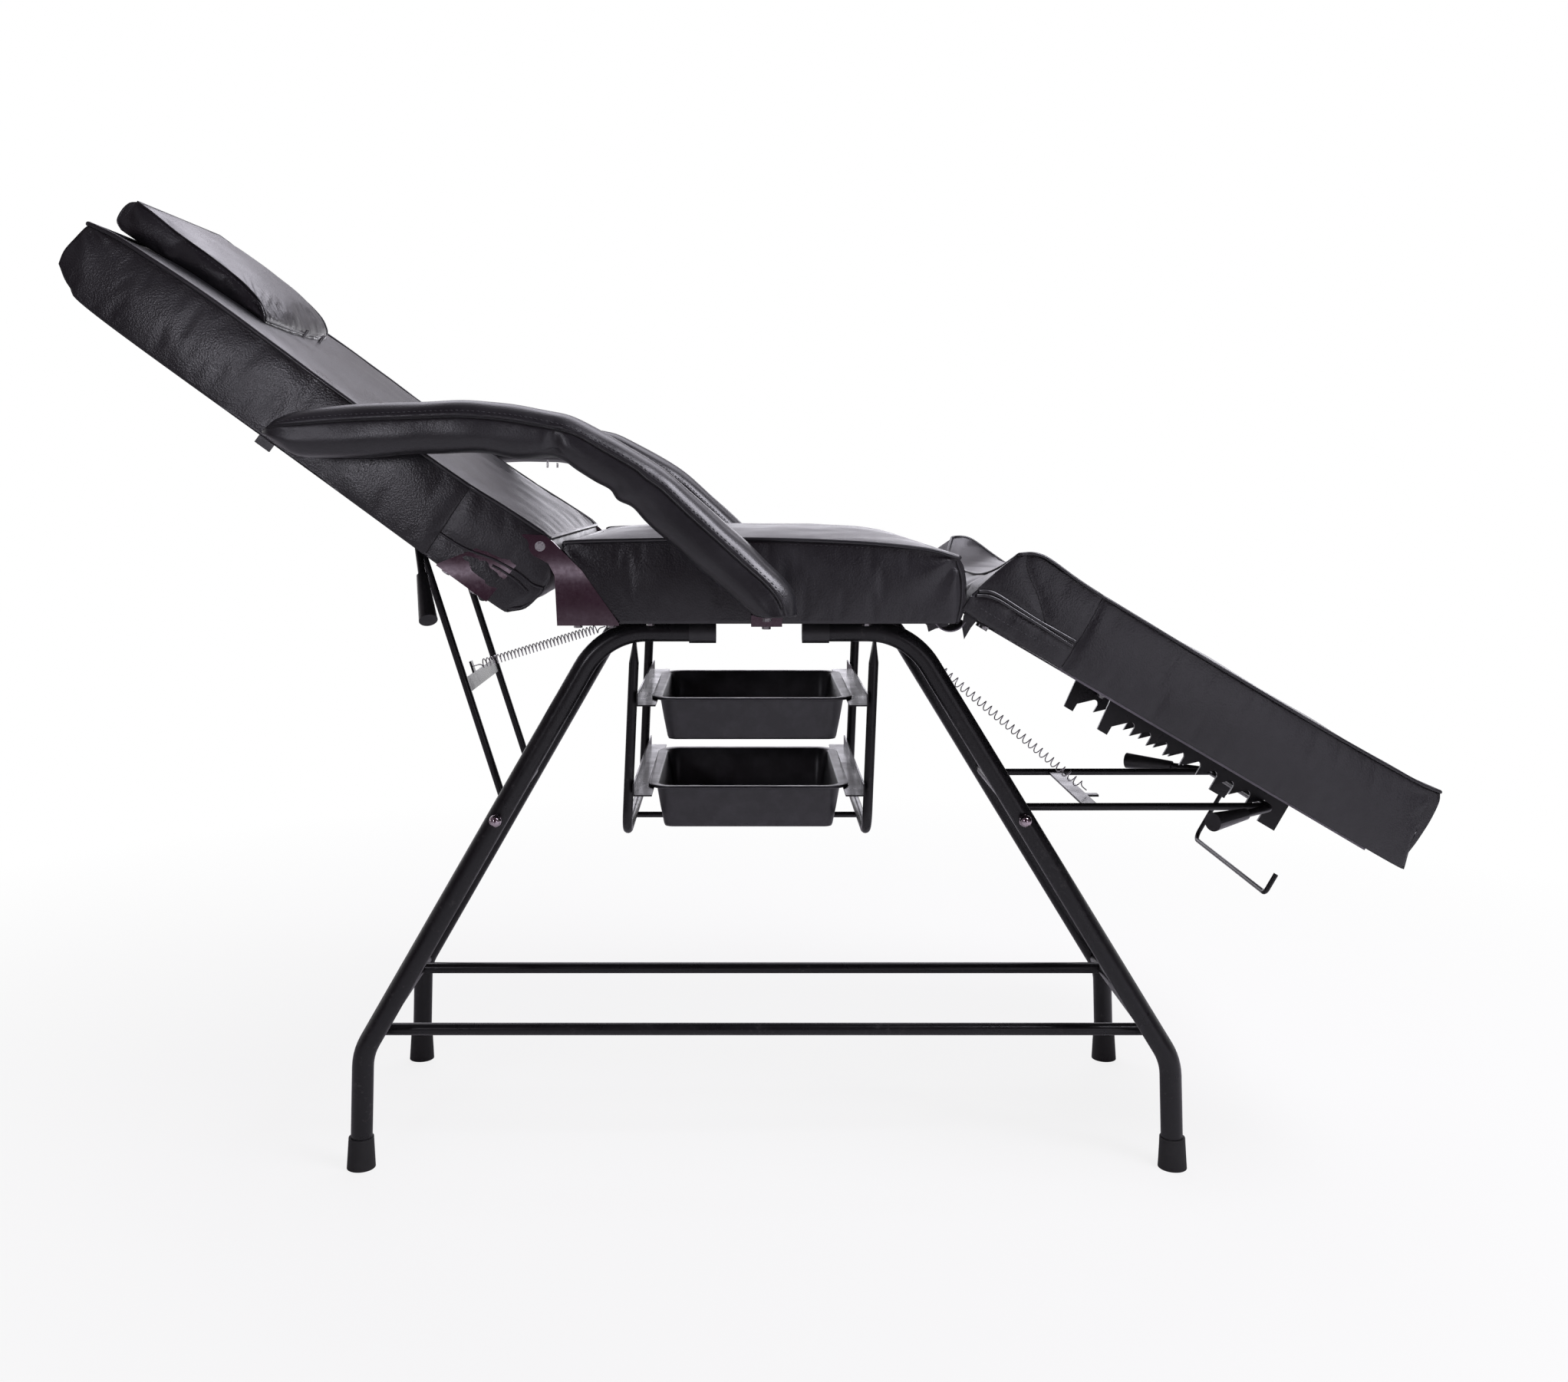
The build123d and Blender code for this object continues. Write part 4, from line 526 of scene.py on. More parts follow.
def moulded(name, colour, roughness, texture, depth):
    """Moulded plastic or rubber: a fine texture, handling marks and dust."""
    finish = Finish(name, colour, roughness)
    spark = finish.noise(texture, rough=0.6)
    marks = finish.noise(26 * MM, detail=5.0, rough=0.65)
    dull = tuple(value * 1.6 + 0.004 for value in colour)
    rough = finish.spread(marks, 0.3, 0.7, roughness - 0.06, roughness + 0.08)
    textured = finish.bump(spark, depth, 0.5)
    return finish.dressed(finish.spread(marks, 0.42, 0.74), colour, dull, rough, textured)


def painted_board():
    """Stained plywood: long grain along the chair, dull and a little open."""
    finish = Finish("stained_board", (0.026, 0.025, 0.025), 0.62)
    along = finish.node("Mapping", {"Vector": finish.place, "Scale": (6.0, 90.0, 90.0)})
    grain = finish.noise(0.5, detail=6.0, rough=0.6, place=along)
    share = finish.spread(grain, 0.35, 0.7)
    rough = finish.spread(grain, 0.3, 0.7, 0.5, 0.72)
    open_grain = finish.bump(grain, 0.3 * MM, 0.5)
    return finish.dressed(share, (0.018, 0.017, 0.017), (0.045, 0.042, 0.04), rough, open_grain)


COVER = vinyl("black_vinyl", (0.012, 0.012, 0.014), 0.34)
ARM_COVER = vinyl("armrest_vinyl", (0.011, 0.011, 0.013), 0.36, depth=0.45)
WELT = vinyl("piping_vinyl", (0.014, 0.014, 0.016), 0.32, depth=0.3)
THREAD = thread("black_thread", (0.05, 0.05, 0.054))
# seam_shadow: a near-black thread finish for cords that paint the shade in the seams' grooves
SEAM_SHADE = thread("seam_shadow", (0.006, 0.006, 0.007))
LINING = vinyl("pale_lining", (0.16, 0.15, 0.17), 0.5, depth=0.5)
TRAY_PLASTIC = moulded("tray_plastic", (0.030, 0.030, 0.033), 0.36, 0.9 * MM, 0.05 * MM)
finishes = {
    "vinyl": COVER,
    "board": painted_board(),
    "black_paint": gloss_paint(),
    "rubber": moulded("foot_rubber", (0.014, 0.014, 0.014), 0.72, 1.2 * MM, 0.12 * MM),
    "cap_plastic": moulded("cap_plastic", (0.016, 0.016, 0.017), 0.34, 0.8 * MM, 0.03 * MM),
    "tray_plastic": TRAY_PLASTIC,
    "chrome": chrome(),
    "zinc": bright_metal(
        "bright_zinc", (0.62, 0.62, 0.62), 0.28, cloud=(5 * MM, 4.0, 0.65), clean=(0.4, (0.66, 0.66, 0.66)),
        dull=(0.38, 0.38, 0.37), polish=(0.2, 0.42), grain=(0.6 * MM, 2.0),
    ),
    "spring_steel": bright_metal(
        "bright_spring_wire", (0.62, 0.61, 0.63), 0.3, cloud=(12 * MM, 3.0, 0.6),
        clean=(0.35, (0.70, 0.69, 0.71)), dull=(0.36, 0.33, 0.34), polish=(0.22, 0.45), grain=(0.4 * MM,),
    ),
}
for node in frame["nodes"].values():
    for place in node.material_slots:
        place.material = finishes[place.material.name.split(".")[0]]
for place in frame["nodes"]["vinyl_flap"].material_slots:
    place.material = LINING


# Upholstery

# The board under a cushion: the cover's border, the step's width and depth, the slack in level
BOARD_BAND = 24.0 * MM
BAND_STEP = 6.0 * MM
BOARD_DEPTH = 12.5 * MM
UNDERSIDE_MARGIN = 0.3 * MM

# Cloth
CLOTH_STEPS = 20
CUSHION_PRESSURE = 4.0
PILLOW_PRESSURE = 3.0
CLOTH_RULES = {
    "quality": 3,
    "mass": 0.001,
    "tension_stiffness": 25.0,
    "compression_stiffness": 25.0,
    "shear_stiffness": 12.0,
    "bending_stiffness": 4.0,
    "use_pressure": True,
    "vertex_group_mass": "held",
}

# Lumps in the stuffing; a seam's held band and its valley; the near-black cord in it, which paints the
# valley's shade: height, radius, finish, sides
LUMP_SIZE = 90 * MM
LUMP_HEIGHT = 0.5 * MM
SEAM_HOLD = 3.2 * MM
SEAM_DEPTH = 1.3 * MM
SEAM_WIDTH = 4.5 * MM
SEAM_SHADE_CORD = (-0.15 * MM, 0.7 * MM, SEAM_SHADE, 6)

# Lines on a side panel: samples to measure from, samples of a cord before and after even spacing, and how
# wide the cover's level is averaged round a sample
MEASURE_SAMPLES = 120
DRAWN_SAMPLES = 240
CORD_SAMPLES = 160
LEVEL_BLUR = 4 * MM
LEVEL_FLOOR = 1e-9

# Piping: neighbours that smooth its direction, samples per point of the rim, a vector no rim runs along
PIPING_BLUR = 4
PIPING_DENSITY = 1.6
PIPING_ACROSS = (0.31, 0.93, 0.2)
TOP_STITCH_STEP = 8


def in_cloth(points, faces, held, pressure, reach, growth):
    """Swells a cover over its stuffing: Blender's cloth on a copy, with inner pressure and held points.

    The cloth is cut larger by the growth, so it can wave between its seams. A point that moved by d ends at
    reach * tanh(d / reach) from where it was, so nothing moves further than the reach.
    """
    scene = bpy.context.scene
    mesh = bpy.data.meshes.new("cover_in_cloth")
    mesh.from_pydata(points.tolist(), [], faces.tolist())
    copy = placed("cover_in_cloth", mesh)
    copy.vertex_groups.new(name="held").add(np.flatnonzero(held).tolist(), 1.0, "REPLACE")
    cloth = copy.modifiers.new("cloth", "CLOTH")
    for name, value in CLOTH_RULES.items():
        setattr(cloth.settings, name, value)
    cloth.settings.uniform_pressure_force = pressure
    cloth.settings.shrink_min = -growth
    cloth.settings.effector_weights.gravity = 0.0
    cloth.collision_settings.use_collision = False
    for step in range(1, CLOTH_STEPS + 1):
        scene.frame_set(step)
    done = copy.evaluated_get(bpy.context.evaluated_depsgraph_get())
    places = np.empty(len(points) * 3)
    done.data.vertices.foreach_get("co", places)
    bpy.data.objects.remove(copy)
    bpy.data.meshes.remove(mesh)
    scene.frame_set(1)
    moved = places.reshape(-1, 3) - points
    far = np.maximum(np.linalg.norm(moved, axis=1, keepdims=True), TINY)
    return points + moved / far * reach * np.tanh(far / reach)


class Cover:
    """A pad's cover in the making: plan holds (along, across, out), points the places in the room."""

    def __init__(self, pad, place, board=None):
        self.pad = pad
        self.place = place
        along, across, out = pad.points.T
        if board:
            out = self.step_over_board(along, across, out, *(value * MM for value in board))
        self.plan = np.stack([along, across, out], axis=-1)
        self.points = place(along, across, out)
        self.faces = pad.faces if enclosed(self.points, pad.faces) > 0 else pad.faces[:, ::-1]
        self.side = pad.side
        self.held = np.zeros(len(self.points))

    def step_over_board(self, along, across, out, start, end, level):
        """Lifts the underside inside a band along its rim, so that the board shows within the band."""
        below = out < level + UNDERSIDE_MARGIN
        inward = np.minimum(self.pad.half_width - np.abs(across), np.minimum(along - start, end - along))
        lift = soft_share(inward, BOARD_BAND, BOARD_BAND + BAND_STEP) * BOARD_DEPTH
        return np.where(below, out + lift, out)

    def normals(self):
        return face_normals_at(self.points, self.faces)

    def push(self, amount):
        """Moves every point along its normal."""
        self.points = self.points + self.normals() * np.broadcast_to(amount, len(self.points))[:, None]

    def ring(self):
        """The numbers of the points round the top's edge: near side, front, far side and rear."""
        loop, rows = self.pad.loop, self.pad.rows
        top = self.pad.corners()[2]
        middle = np.arange(1, rows - 1) * loop
        return np.concatenate([top, middle + top[-1], (rows - 1) * loop + top[::-1], middle[::-1] + top[0]])

    def hold_edges(self):
        """Holds the underside, the ends of the side panels and the rim of the top."""
        low, front, top, rear = self.pad.corners()
        number = np.arange(self.pad.panel_start) % self.pad.loop
        self.held[np.flatnonzero(np.isin(number, low))] = 1.0
        self.held[self.ring()] = 1.0
        for row in (0, self.pad.rows - 1):
            self.held[row * self.pad.loop + np.concatenate([front, rear])] = 1.0

    def distance(self, drawn):
        """How far each point of the side panels is from a line of (along, out) millimetres; elsewhere 1 m."""
        wanted = evenly(through(drawn, MEASURE_SAMPLES), MEASURE_SAMPLES)
        far = np.ones(len(self.points))
        mine = np.flatnonzero(self.side != 0)
        flat = self.plan[mine][:, [0, 2]]
        far[mine] = np.min(np.linalg.norm(flat[:, None] - wanted[None], axis=-1), axis=1)
        return far

    def settle(self, seams, pressure, reach, seed, growth=0.001):
        """Lumps of stuffing, then the cloth, both held along the edges and the seams."""
        self.hold_edges()
        for seam in seams:
            self.held = np.maximum(self.held, np.where(self.distance(seam) < SEAM_HOLD, 1.0, 0.0))
        self.push(waves(self.plan, LUMP_SIZE, seed) * LUMP_HEIGHT * (1 - self.held))
        self.points = in_cloth(self.points, self.faces, self.held, pressure, reach, growth)

    def pull_in(self, seams):
        """Draws the cover in along its seams."""
        for seam in seams:
            self.push(-SEAM_DEPTH * bell(self.distance(seam), SEAM_WIDTH))

    def corner_folds(self, *corners):
        """Folds that run out from corners of the side panels, strongest a little way from them.

        Each corner has its (along, out) place, the folds in a full turn, their reach and their depth.
        """
        for corner, count, size, depth in corners:
            away = self.plan[:, [0, 2]] - np.asarray(corner) * MM
            far = np.linalg.norm(away, axis=1)
            angle = np.arctan2(away[:, 1], away[:, 0])
            fold = np.cos(count * angle) * bell(far, size * MM) * (1 - bell(far, size * MM * 0.3))
            self.push(np.where(self.side != 0, fold * depth * MM, 0.0) * (1 - self.held))

    def laid(self, drawn, sign, proud):
        """World points of a line of (along, out) millimetres on a side panel, raised from it by proud."""
        wanted = evenly(through(drawn, DRAWN_SAMPLES), CORD_SAMPLES)
        mine = np.flatnonzero(self.side == sign)
        gap = np.linalg.norm(wanted[:, None] - self.plan[mine][None][:, :, [0, 2]], axis=-1)
        weight = bell(gap, LEVEL_BLUR) + LEVEL_FLOOR
        level = (weight @ self.points[mine][:, 1]) / weight.sum(axis=1)
        return self.place(wanted[:, 0], level + sign * proud, wanted[:, 1])

    def make(self, name, body, node):
        thing = piece(name, self.points, [self.faces], COVER, body)
        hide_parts(node)

    def piping(self, name, body, radius=PIPING_RADIUS, lift=0.5):
        """A cord in vinyl round the rim of the top, raised by lift as a share of its radius."""
        index = self.ring()
        facing = self.normals()[index]
        facing = unit(sum(np.roll(facing, step, axis=0) for step in range(-PIPING_BLUR, PIPING_BLUR + 1)))
        path = self.points[index] + facing * radius * lift
        path = np.concatenate([path, path[:1]])
        path = evenly(path, int(len(path) * PIPING_DENSITY))
        tube(name, path, radius, WELT, body, across=PIPING_ACROSS)

    def cords(self, name, body, lines, sign, proud, radius, finish=WELT, sides=8):
        """Cords along lines of a side panel, numbered from 0."""
        for number, drawn in enumerate(lines):
            tube(f"{name}_{number}", self.laid(drawn, sign, proud), radius, finish, body, sides)

    def stitch(self, name, body, drawn, sign):
        stitches(name, self.laid(drawn, sign, 0.1 * MM), (0, sign, 0), body)

    def top_stitch(self, name, body, below, sign, trim=14):
        """A row of stitches on a side panel, a little below the rim, without trim points at each end."""
        edge = self.pad.outer[self.pad.corners()[2]][trim:-trim] / MM - [0, below]
        self.stitch(name, body, edge[::TOP_STITCH_STEP].tolist(), sign)


SEAT_SIDE = [
    [(-252, 717.3), (0, 717.3), (234, 717.3)],
    [(234, 717.3), (241, 735), (244, 760), (241, 785), (235, 798)],
    [(-250, 814), (-238, 818), (-120, 821), (0, 821), (90, 818), (150, 814), (200, 808), (235, 798)],
    [(-252, 717.3), (-257, 745), (-258, 778), (-256, 800), (-250, 814)],
]
SEAT_MIDDLE = [
    *SEAT_SIDE[:2],
    [(-250, 814), (-236, 820), (-180, 825), (-60, 827), (60, 827), (150, 823), (205, 811), (235, 798)],
    SEAT_SIDE[3],
]
BACK_SIDE = [
    [(-8, -86), (12, -92.7), (300, -92.7), (604, -92.7), (657, -83), (684, -68)],
    [(684, -68), (688, -50), (686, -28), (684, -14), (682, -8)],
    [
        (-2, 12), (14, 14), (60, 12), (120, 8), (200, 6), (344, 6), (500, 7), (600, 3), (645, 0), (672, -5),
        (682, -8),
    ],
    [(-8, -86), (-27, -70), (-35, -40), (-26, -10), (-12, 5), (-2, 12)],
]
BACK_MIDDLE = [
    *BACK_SIDE[:2],
    [(-2, 12), (14, 15), (60, 14), (200, 12), (344, 10), (500, 8), (600, 4), (645, 0), (672, -4), (682, -8)],
    BACK_SIDE[3],
]
LEG_SIDE = [
    [(-2, 4), (16, -0.7), (300, -0.7), (596, -0.7), (608, 5), (615, 15)],
    [(615, 15), (618, 40), (619, 70), (617, 94), (612, 105)],
    [
        (18, 94), (28, 102), (42, 107), (60, 107), (90, 104), (130, 102), (263, 100), (432, 99), (570, 101),
        (612, 105),
    ],
    [(-2, 4), (-4, 20), (-3, 32), (3, 60), (18, 94)],
]
LEG_MIDDLE = [
    *LEG_SIDE[:2],
    [(14, 50), (26, 60), (45, 66), (90, 88), (150, 103), (300, 107), (432, 106), (570, 104), (612, 105)],
    [(-2, 4), (-3, 20), (-2, 30), (4, 40), (14, 50)],
]
PILLOW_SIDE = [
    [(486, 10), (510, 9), (560, 7.5), (620, 5), (680, 0.5), (708, -0.5)],
    [(708, -0.5), (720, 6), (723, 22), (720, 35), (712, 42)],
    [(487, 15), (492, 22), (508, 31), (534, 37), (560, 39), (600, 40), (650, 40), (690, 42), (712, 42)],
    [(486, 10), (485.5, 12), (486, 13.5), (487, 15)],
]
PILLOW_MIDDLE = [
    [(466, 12), (500, 11), (560, 8.5), (620, 6), (680, 1), (708, 0)],
    [(708, 0), (720, 7), (724, 22), (721, 36), (712, 42)],
    [(467, 17), (472, 25), (490, 36), (530, 45), (580, 49), (640, 50), (680, 47), (712, 42)],
    [(466, 12), (465.5, 13.5), (466, 15), (467, 17)],
]
PILLOW_HALF = 190.0 * MM
PILLOW_SKEW = 0.085
PILLOW_SAMPLES = (110, 16, 110)
LEG_POWER = 3.6

# The undersides over the boards, in millimetres: from, to and level
SEAT_BOARD = (-252, 234, 717.3)
BACK_BOARD = (8, 606, -92.7)
LEG_BOARD = (8, 600, -0.7)

# Seams on the side panels, as (along, out) places of each section
SEAT_FRONT_SEAM = [(233, 720), (238, 745), (238, 772), (232, 794)]
BACK_SEAM = [(113, 7), (112, -17), (110, -56), (109, -90)]
BACK_WELTS = [
    [(110, -60), (74, -57), (37, -47), (5, -43), (-19, -44), (-33, -40)],
    [(34, -54), (20, -52), (-2, -52), (-20, -55)],
]
LEG_SEAMS = [
    [(27, 99), (36, 83), (64, 61), (88, 38)],
    [(133, 100), (134, 60), (133, 2)],
]
LEG_WELTS = [
    [(-3, 30), (8, 36), (21, 38), (50, 37), (78, 36), (105, 36.5), (131, 37)],
    [(-3, 24), (8, 30), (23, 33), (50, 32.5), (81, 32), (105, 31), (131, 30)],
]
LEG_LOW_STITCH = [(8, 13), (40, 13), (74, 14), (105, 18), (131, 25)]

# A hollow in the back's side panels
DIMPLE_PLACE = np.array([330, -48]) * MM
DIMPLE_SIZE = [120 * MM, 34 * MM]
DIMPLE_DEPTH = 3.0 * MM

# Where the pillow's hem lies across it, and the level above which a point is on top
HEM_ALONG = [466 * MM, 486 * MM]
TOP_ALONG = [466 * MM, 500 * MM, 712 * MM]
TOP_LEVEL = [15 * MM, 18 * MM, 25 * MM]

# Gathers along the hem, with more of them near one corner
GATHER_PITCH = 11 * MM
GATHER_DRIFT = 1.5
DRIFT_SIZE = 17 * MM
GATHER_REACH = 16 * MM
GATHER_START = 5 * MM
GATHER_HEIGHT = 1.5 * MM
CORNER_SHARE = 0.8
CORNER_SIZE = 55 * MM
ELSEWHERE = 0.35

# Wide folds behind the gathers
FOLD_OFFSET = 95 * MM
FOLD_SIZE = 26 * MM
FOLD_REACH = 45 * MM
FOLD_START = (2 * MM, 16 * MM)
FOLD_HEIGHT = 1.4 * MM


def on_pillow(along, across, out):
    """The pillow stands a little askew on the back."""
    return on_back(along + PILLOW_SKEW * across, across, out)


def seat():
    cover = Cover(Pad(SEAT_SIDE, SEAT_MIDDLE), on_seat, SEAT_BOARD)
    cover.settle([SEAT_FRONT_SEAM], CUSHION_PRESSURE, 3.5 * MM, seed=3)
    cover.corner_folds(((236, 800), 7, 60, 2.2), ((-252, 815), 6, 45, 1.2))
    cover.pull_in([SEAT_FRONT_SEAM])
    cover.make("seat_cover", "frame", "seat_cushion")
    cover.piping("seat_piping", "frame")
    for sign, side in SIDES:
        path = cover.laid(SEAT_FRONT_SEAM, sign, 0.2 * MM)
        tube("seat_front_seam_" + side, path, 1.3 * MM, WELT, "frame", sides=8)
        cover.top_stitch("seat_stitches_" + side, "frame", 5.5, sign)


def back():
    cover = Cover(Pad(BACK_SIDE, BACK_MIDDLE), on_back, BACK_BOARD)
    cover.settle([BACK_SEAM, BACK_WELTS[0]], CUSHION_PRESSURE, 4 * MM, seed=5)
    from_dimple = np.linalg.norm((cover.plan[:, [0, 2]] - DIMPLE_PLACE) / DIMPLE_SIZE, axis=1)
    cover.push(np.where(cover.side != 0, -DIMPLE_DEPTH * bell(from_dimple, 1), 0.0))
    cover.corner_folds(((684, -8), 6, 50, 1.5))
    cover.pull_in([BACK_SEAM] + BACK_WELTS)
    cover.make("back_cover", "back", "back_cushion")
    cover.piping("back_piping", "back", PIPING_RADIUS * 1.15, 0.7)
    for sign, side in SIDES:
        # Near-black cords along the seams paint the shade in their grooves
        cover.cords("back_seam_" + side, "back", [BACK_SEAM], sign, *SEAM_SHADE_CORD)
        cover.cords("back_welt_" + side, "back", BACK_WELTS, sign, 0.4 * MM, 1.9 * MM)


def leg_rest():
    cover = Cover(Pad(LEG_SIDE, LEG_MIDDLE, LEG_POWER), on_leg_rest, LEG_BOARD)
    cover.settle(LEG_SEAMS + LEG_WELTS[:1], CUSHION_PRESSURE, 4 * MM, seed=7)
    cover.corner_folds(((610, 100), 6, 40, 1.2))
    cover.pull_in(LEG_SEAMS + LEG_WELTS)
    cover.make("leg_rest_cover", "leg_rest", "leg_rest_cushion")
    cover.piping("leg_rest_piping", "leg_rest", PIPING_RADIUS * 0.85)
    for sign, side in SIDES:
        # Near-black cords along the seams paint the shade in their grooves
        cover.cords("leg_rest_seam_" + side, "leg_rest", LEG_SEAMS, sign, *SEAM_SHADE_CORD)
        cover.stitch("leg_rest_stitches_" + side, "leg_rest", LEG_LOW_STITCH, sign)
        cover.cords("leg_rest_welt_" + side, "leg_rest", LEG_WELTS, sign, 0.8 * MM, 2.4 * MM)


def pillow():
    cover = Cover(Pad(PILLOW_SIDE, PILLOW_MIDDLE, half_width=PILLOW_HALF, samples=PILLOW_SAMPLES), on_pillow)
    cover.settle([], PILLOW_PRESSURE, 3 * MM, seed=11, growth=0.003)
    along, across, out = cover.plan.T
    from_hem = along - np.interp(np.abs(across), [0, PILLOW_HALF], HEM_ALONG)
    more = bell(across + PILLOW_HALF * CORNER_SHARE, CORNER_SIZE) + ELSEWHERE
    pleat = np.sin(2 * math.pi * across / GATHER_PITCH + GATHER_DRIFT * np.sin(across / DRIFT_SIZE))
    gather = pleat * np.exp(-from_hem / GATHER_REACH) * soft_share(from_hem, 0.0, GATHER_START) * more
    fold = np.cos((across + FOLD_OFFSET) / FOLD_SIZE) * np.exp(-from_hem / FOLD_REACH)
    fold = fold * soft_share(from_hem, *FOLD_START)
    on_top = out > np.interp(along, TOP_ALONG, TOP_LEVEL)
    cover.push(np.where(on_top & (cover.side == 0), gather * GATHER_HEIGHT + fold * FOLD_HEIGHT, 0.0))
    cover.corner_folds(((490, 16), 8, 45, 1.8), ((716, 40), 5, 35, 1.0))
    cover.make("pillow_cover", "pillow", "head_pillow")
    cover.piping("pillow_hem", "pillow", 1.1 * MM, 0.4)
    for sign, side in SIDES:
        cover.top_stitch("pillow_stitches_" + side, "pillow", 4.5, sign, trim=8)


# Armrests

ARM_TOP = [
    (-600, 952), (-590, 961), (-578, 969), (-552, 977), (-488, 985), (-420, 987), (-343, 988), (-262, 977),
    (-214, 960), (-130, 911), (-67, 856), (-14, 807), (17, 778), (31, 757), (34, 733),
]
ARM_LOW = [
    (-600, 949), (-592, 943), (-578, 933), (-552, 921), (-488, 921), (-420, 925), (-343, 926), (-297, 919),
    (-262, 921), (-246, 917), (-229, 905), (-208, 893), (-189, 883), (-180, 870), (-163, 861), (-148, 845),
    (-124, 823), (-66, 773), (-36, 748), (-20, 734), (-14, 732),
]
ARM_RINGS = 230
ARM_SIDES = 128
ARM_HALF = 42.0 * MM
ARM_MIDDLE = 344.0 * MM
ARM_POWER = 3.0
ARM_TIP_RINGS = 16
ARM_FLANK = 0.8
ARM_SEAM_LEVEL = 0.36
ARM_HALF_HEIGHT = 31.0 * MM

# Lumps, puckers beside the seam, folds at both ends
ARM_LUMP_SIZE = 80 * MM
ARM_LUMP_HEIGHT = 0.6 * MM
PUCKER_WIDTH = 7 * MM
PUCKER_HEIGHT = 0.22 * MM
END_FOLDS = 9
END_FOLD_HEIGHT = 1.0 * MM

# The lip at the seam: the upper cover stands proud of the lower one, with a groove between
LIP_EDGE = 0.9 * MM
LIP_PROUD = 0.6 * MM
LIP_PROUD_REACH = 9 * MM
LIP_BACK = 1.5 * MM
LIP_BACK_REACH = 12 * MM
GROOVE_DEPTH = 1.3 * MM
GROOVE_WIDTH = 1.5 * MM

# The hollow where the pad bends
ARM_NOTCH = (-253.0 * MM + SHIFT, 932.0 * MM)
NOTCH_SIZE = (8 * MM, 20 * MM)
NOTCH_DEPTH = 6.0 * MM

# The near-black cord in the seam's groove, which paints its shade, and the seam's stitches some sides above
# it
ARM_SEAM_RADIUS = 1.5 * MM
ARM_SEAM_PROUD = 0.7 * MM
ARM_STITCH_PROUD = 0.15 * MM
ARM_PATH_SAMPLES = 400
ARM_FACING_SAMPLES = 200
ARM_STITCH_SIDES = 4


def between(row, start, first, last):
    """0 up to the start ring from either end of the armrest, and 1 beyond the first and last rings."""
    return soft_share(row, start, first) * soft_share(ARM_RINGS - row, start, last)


def armrest(side, name, node):
    """A long pad: rings of a rounded rectangle, |x|^3 + |y|^3 = 1, between a top line and a bottom line."""
    top, low = (evenly(through(drawn, ARM_RINGS), ARM_RINGS) for drawn in (ARM_TOP, ARM_LOW))
    middle, half = (top + low) / 2, (top - low) / 2
    angle = full_turn(ARM_SIDES)
    scale = (np.abs(np.cos(angle)) ** ARM_POWER + np.abs(np.sin(angle)) ** ARM_POWER) ** (-1 / ARM_POWER)
    level, aside = np.cos(angle) * scale, np.sin(angle) * scale
    from_tip = np.arange(ARM_RINGS) / ARM_TIP_RINGS
    reach = np.sqrt(1 - (1 - np.clip(from_tip, 0, 1)) ** 2)[:, None] * 0.5 + 0.5
    x = middle[:, :1] + half[:, :1] * level
    z = middle[:, 1:] + half[:, 1:] * level
    y = side * (ARM_MIDDLE + ARM_HALF * reach * aside)
    rings = np.stack([x + SHIFT, y, z], axis=-1)
    faces, caps = shell(rings)
    points = rings.reshape(-1, 3)
    row, column = np.divmod(np.arange(ARM_RINGS * ARM_SIDES), ARM_SIDES)
    from_seam = (level[column] - ARM_SEAM_LEVEL) * ARM_HALF_HEIGHT
    on_side = np.abs(aside[column]) > ARM_FLANK
    along = row / (ARM_RINGS - 1)
    swell = waves(points, ARM_LUMP_SIZE, 17 + side) * ARM_LUMP_HEIGHT * between(row, 0, 8, 8)
    pucker = np.sin(row * 1.3 + 2 * np.sin(row * 0.27)) * bell(from_seam, PUCKER_WIDTH) * on_side
    ends = np.exp(-(along / 0.06)) + np.exp(-((1 - along) / 0.07))
    end_folds = np.cos(angle[column] * END_FOLDS + 0.8) * ends * between(row, 1, 8, 8)
    above = 0.5 + 0.5 * np.tanh(from_seam / LIP_EDGE)
    set_back = -LIP_BACK * np.exp(np.minimum(from_seam, 0) / LIP_BACK_REACH)
    lip = (1 - above) * set_back + above * LIP_PROUD * np.exp(-np.maximum(from_seam, 0) / LIP_PROUD_REACH)
    lip = lip - GROOVE_DEPTH * bell(from_seam, GROOVE_WIDTH)
    lip = lip * on_side * between(row, 0, 10, 6)
    from_notch = np.linalg.norm((points[:, [0, 2]] - ARM_NOTCH) / NOTCH_SIZE, axis=1)
    notch = -NOTCH_DEPTH * bell(from_notch, 1) * on_side
    amount = swell + pucker * PUCKER_HEIGHT + end_folds * END_FOLD_HEIGHT + lip + notch
    points = points + face_normals_at(points, faces) * amount[:, None]
    thing = piece(name, points, [faces, caps], ARM_COVER, "frame")
    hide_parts(node)
    rings = points.reshape(ARM_RINGS, ARM_SIDES, 3)
    normal = face_normals_at(points, faces).reshape(ARM_RINGS, ARM_SIDES, 3)
    for flank, here in (("outer", aside > ARM_FLANK), ("inner", aside < -ARM_FLANK)):
        candidates = np.flatnonzero(here)
        seam = candidates[np.argmin(np.abs(level[candidates] - ARM_SEAM_LEVEL))]
        path = evenly(rings[4:-4, seam] + normal[4:-4, seam] * ARM_SEAM_PROUD, ARM_PATH_SAMPLES)
        # A near-black cord in the groove paints the seam's shade
        tube(f"{name}_seam_{flank}", path, ARM_SEAM_RADIUS, SEAM_SHADE, "frame", sides=6)
        step = 1 if level[(seam + 1) % ARM_SIDES] > level[seam] else -1
        beside = (seam + ARM_STITCH_SIDES * step) % ARM_SIDES
        outward = evenly(normal[8:-8, beside], ARM_FACING_SAMPLES)
        path = evenly(rings[8:-8, beside] + normal[8:-8, beside] * ARM_STITCH_PROUD, ARM_PATH_SAMPLES)
        facing = outward[np.linspace(0, ARM_FACING_SAMPLES - 1, stitch_count(path)).astype(int)]
        stitches(f"{name}_stitches_{flank}", path, facing, "frame")


# Tabs and hems, as (along, out) places in millimetres

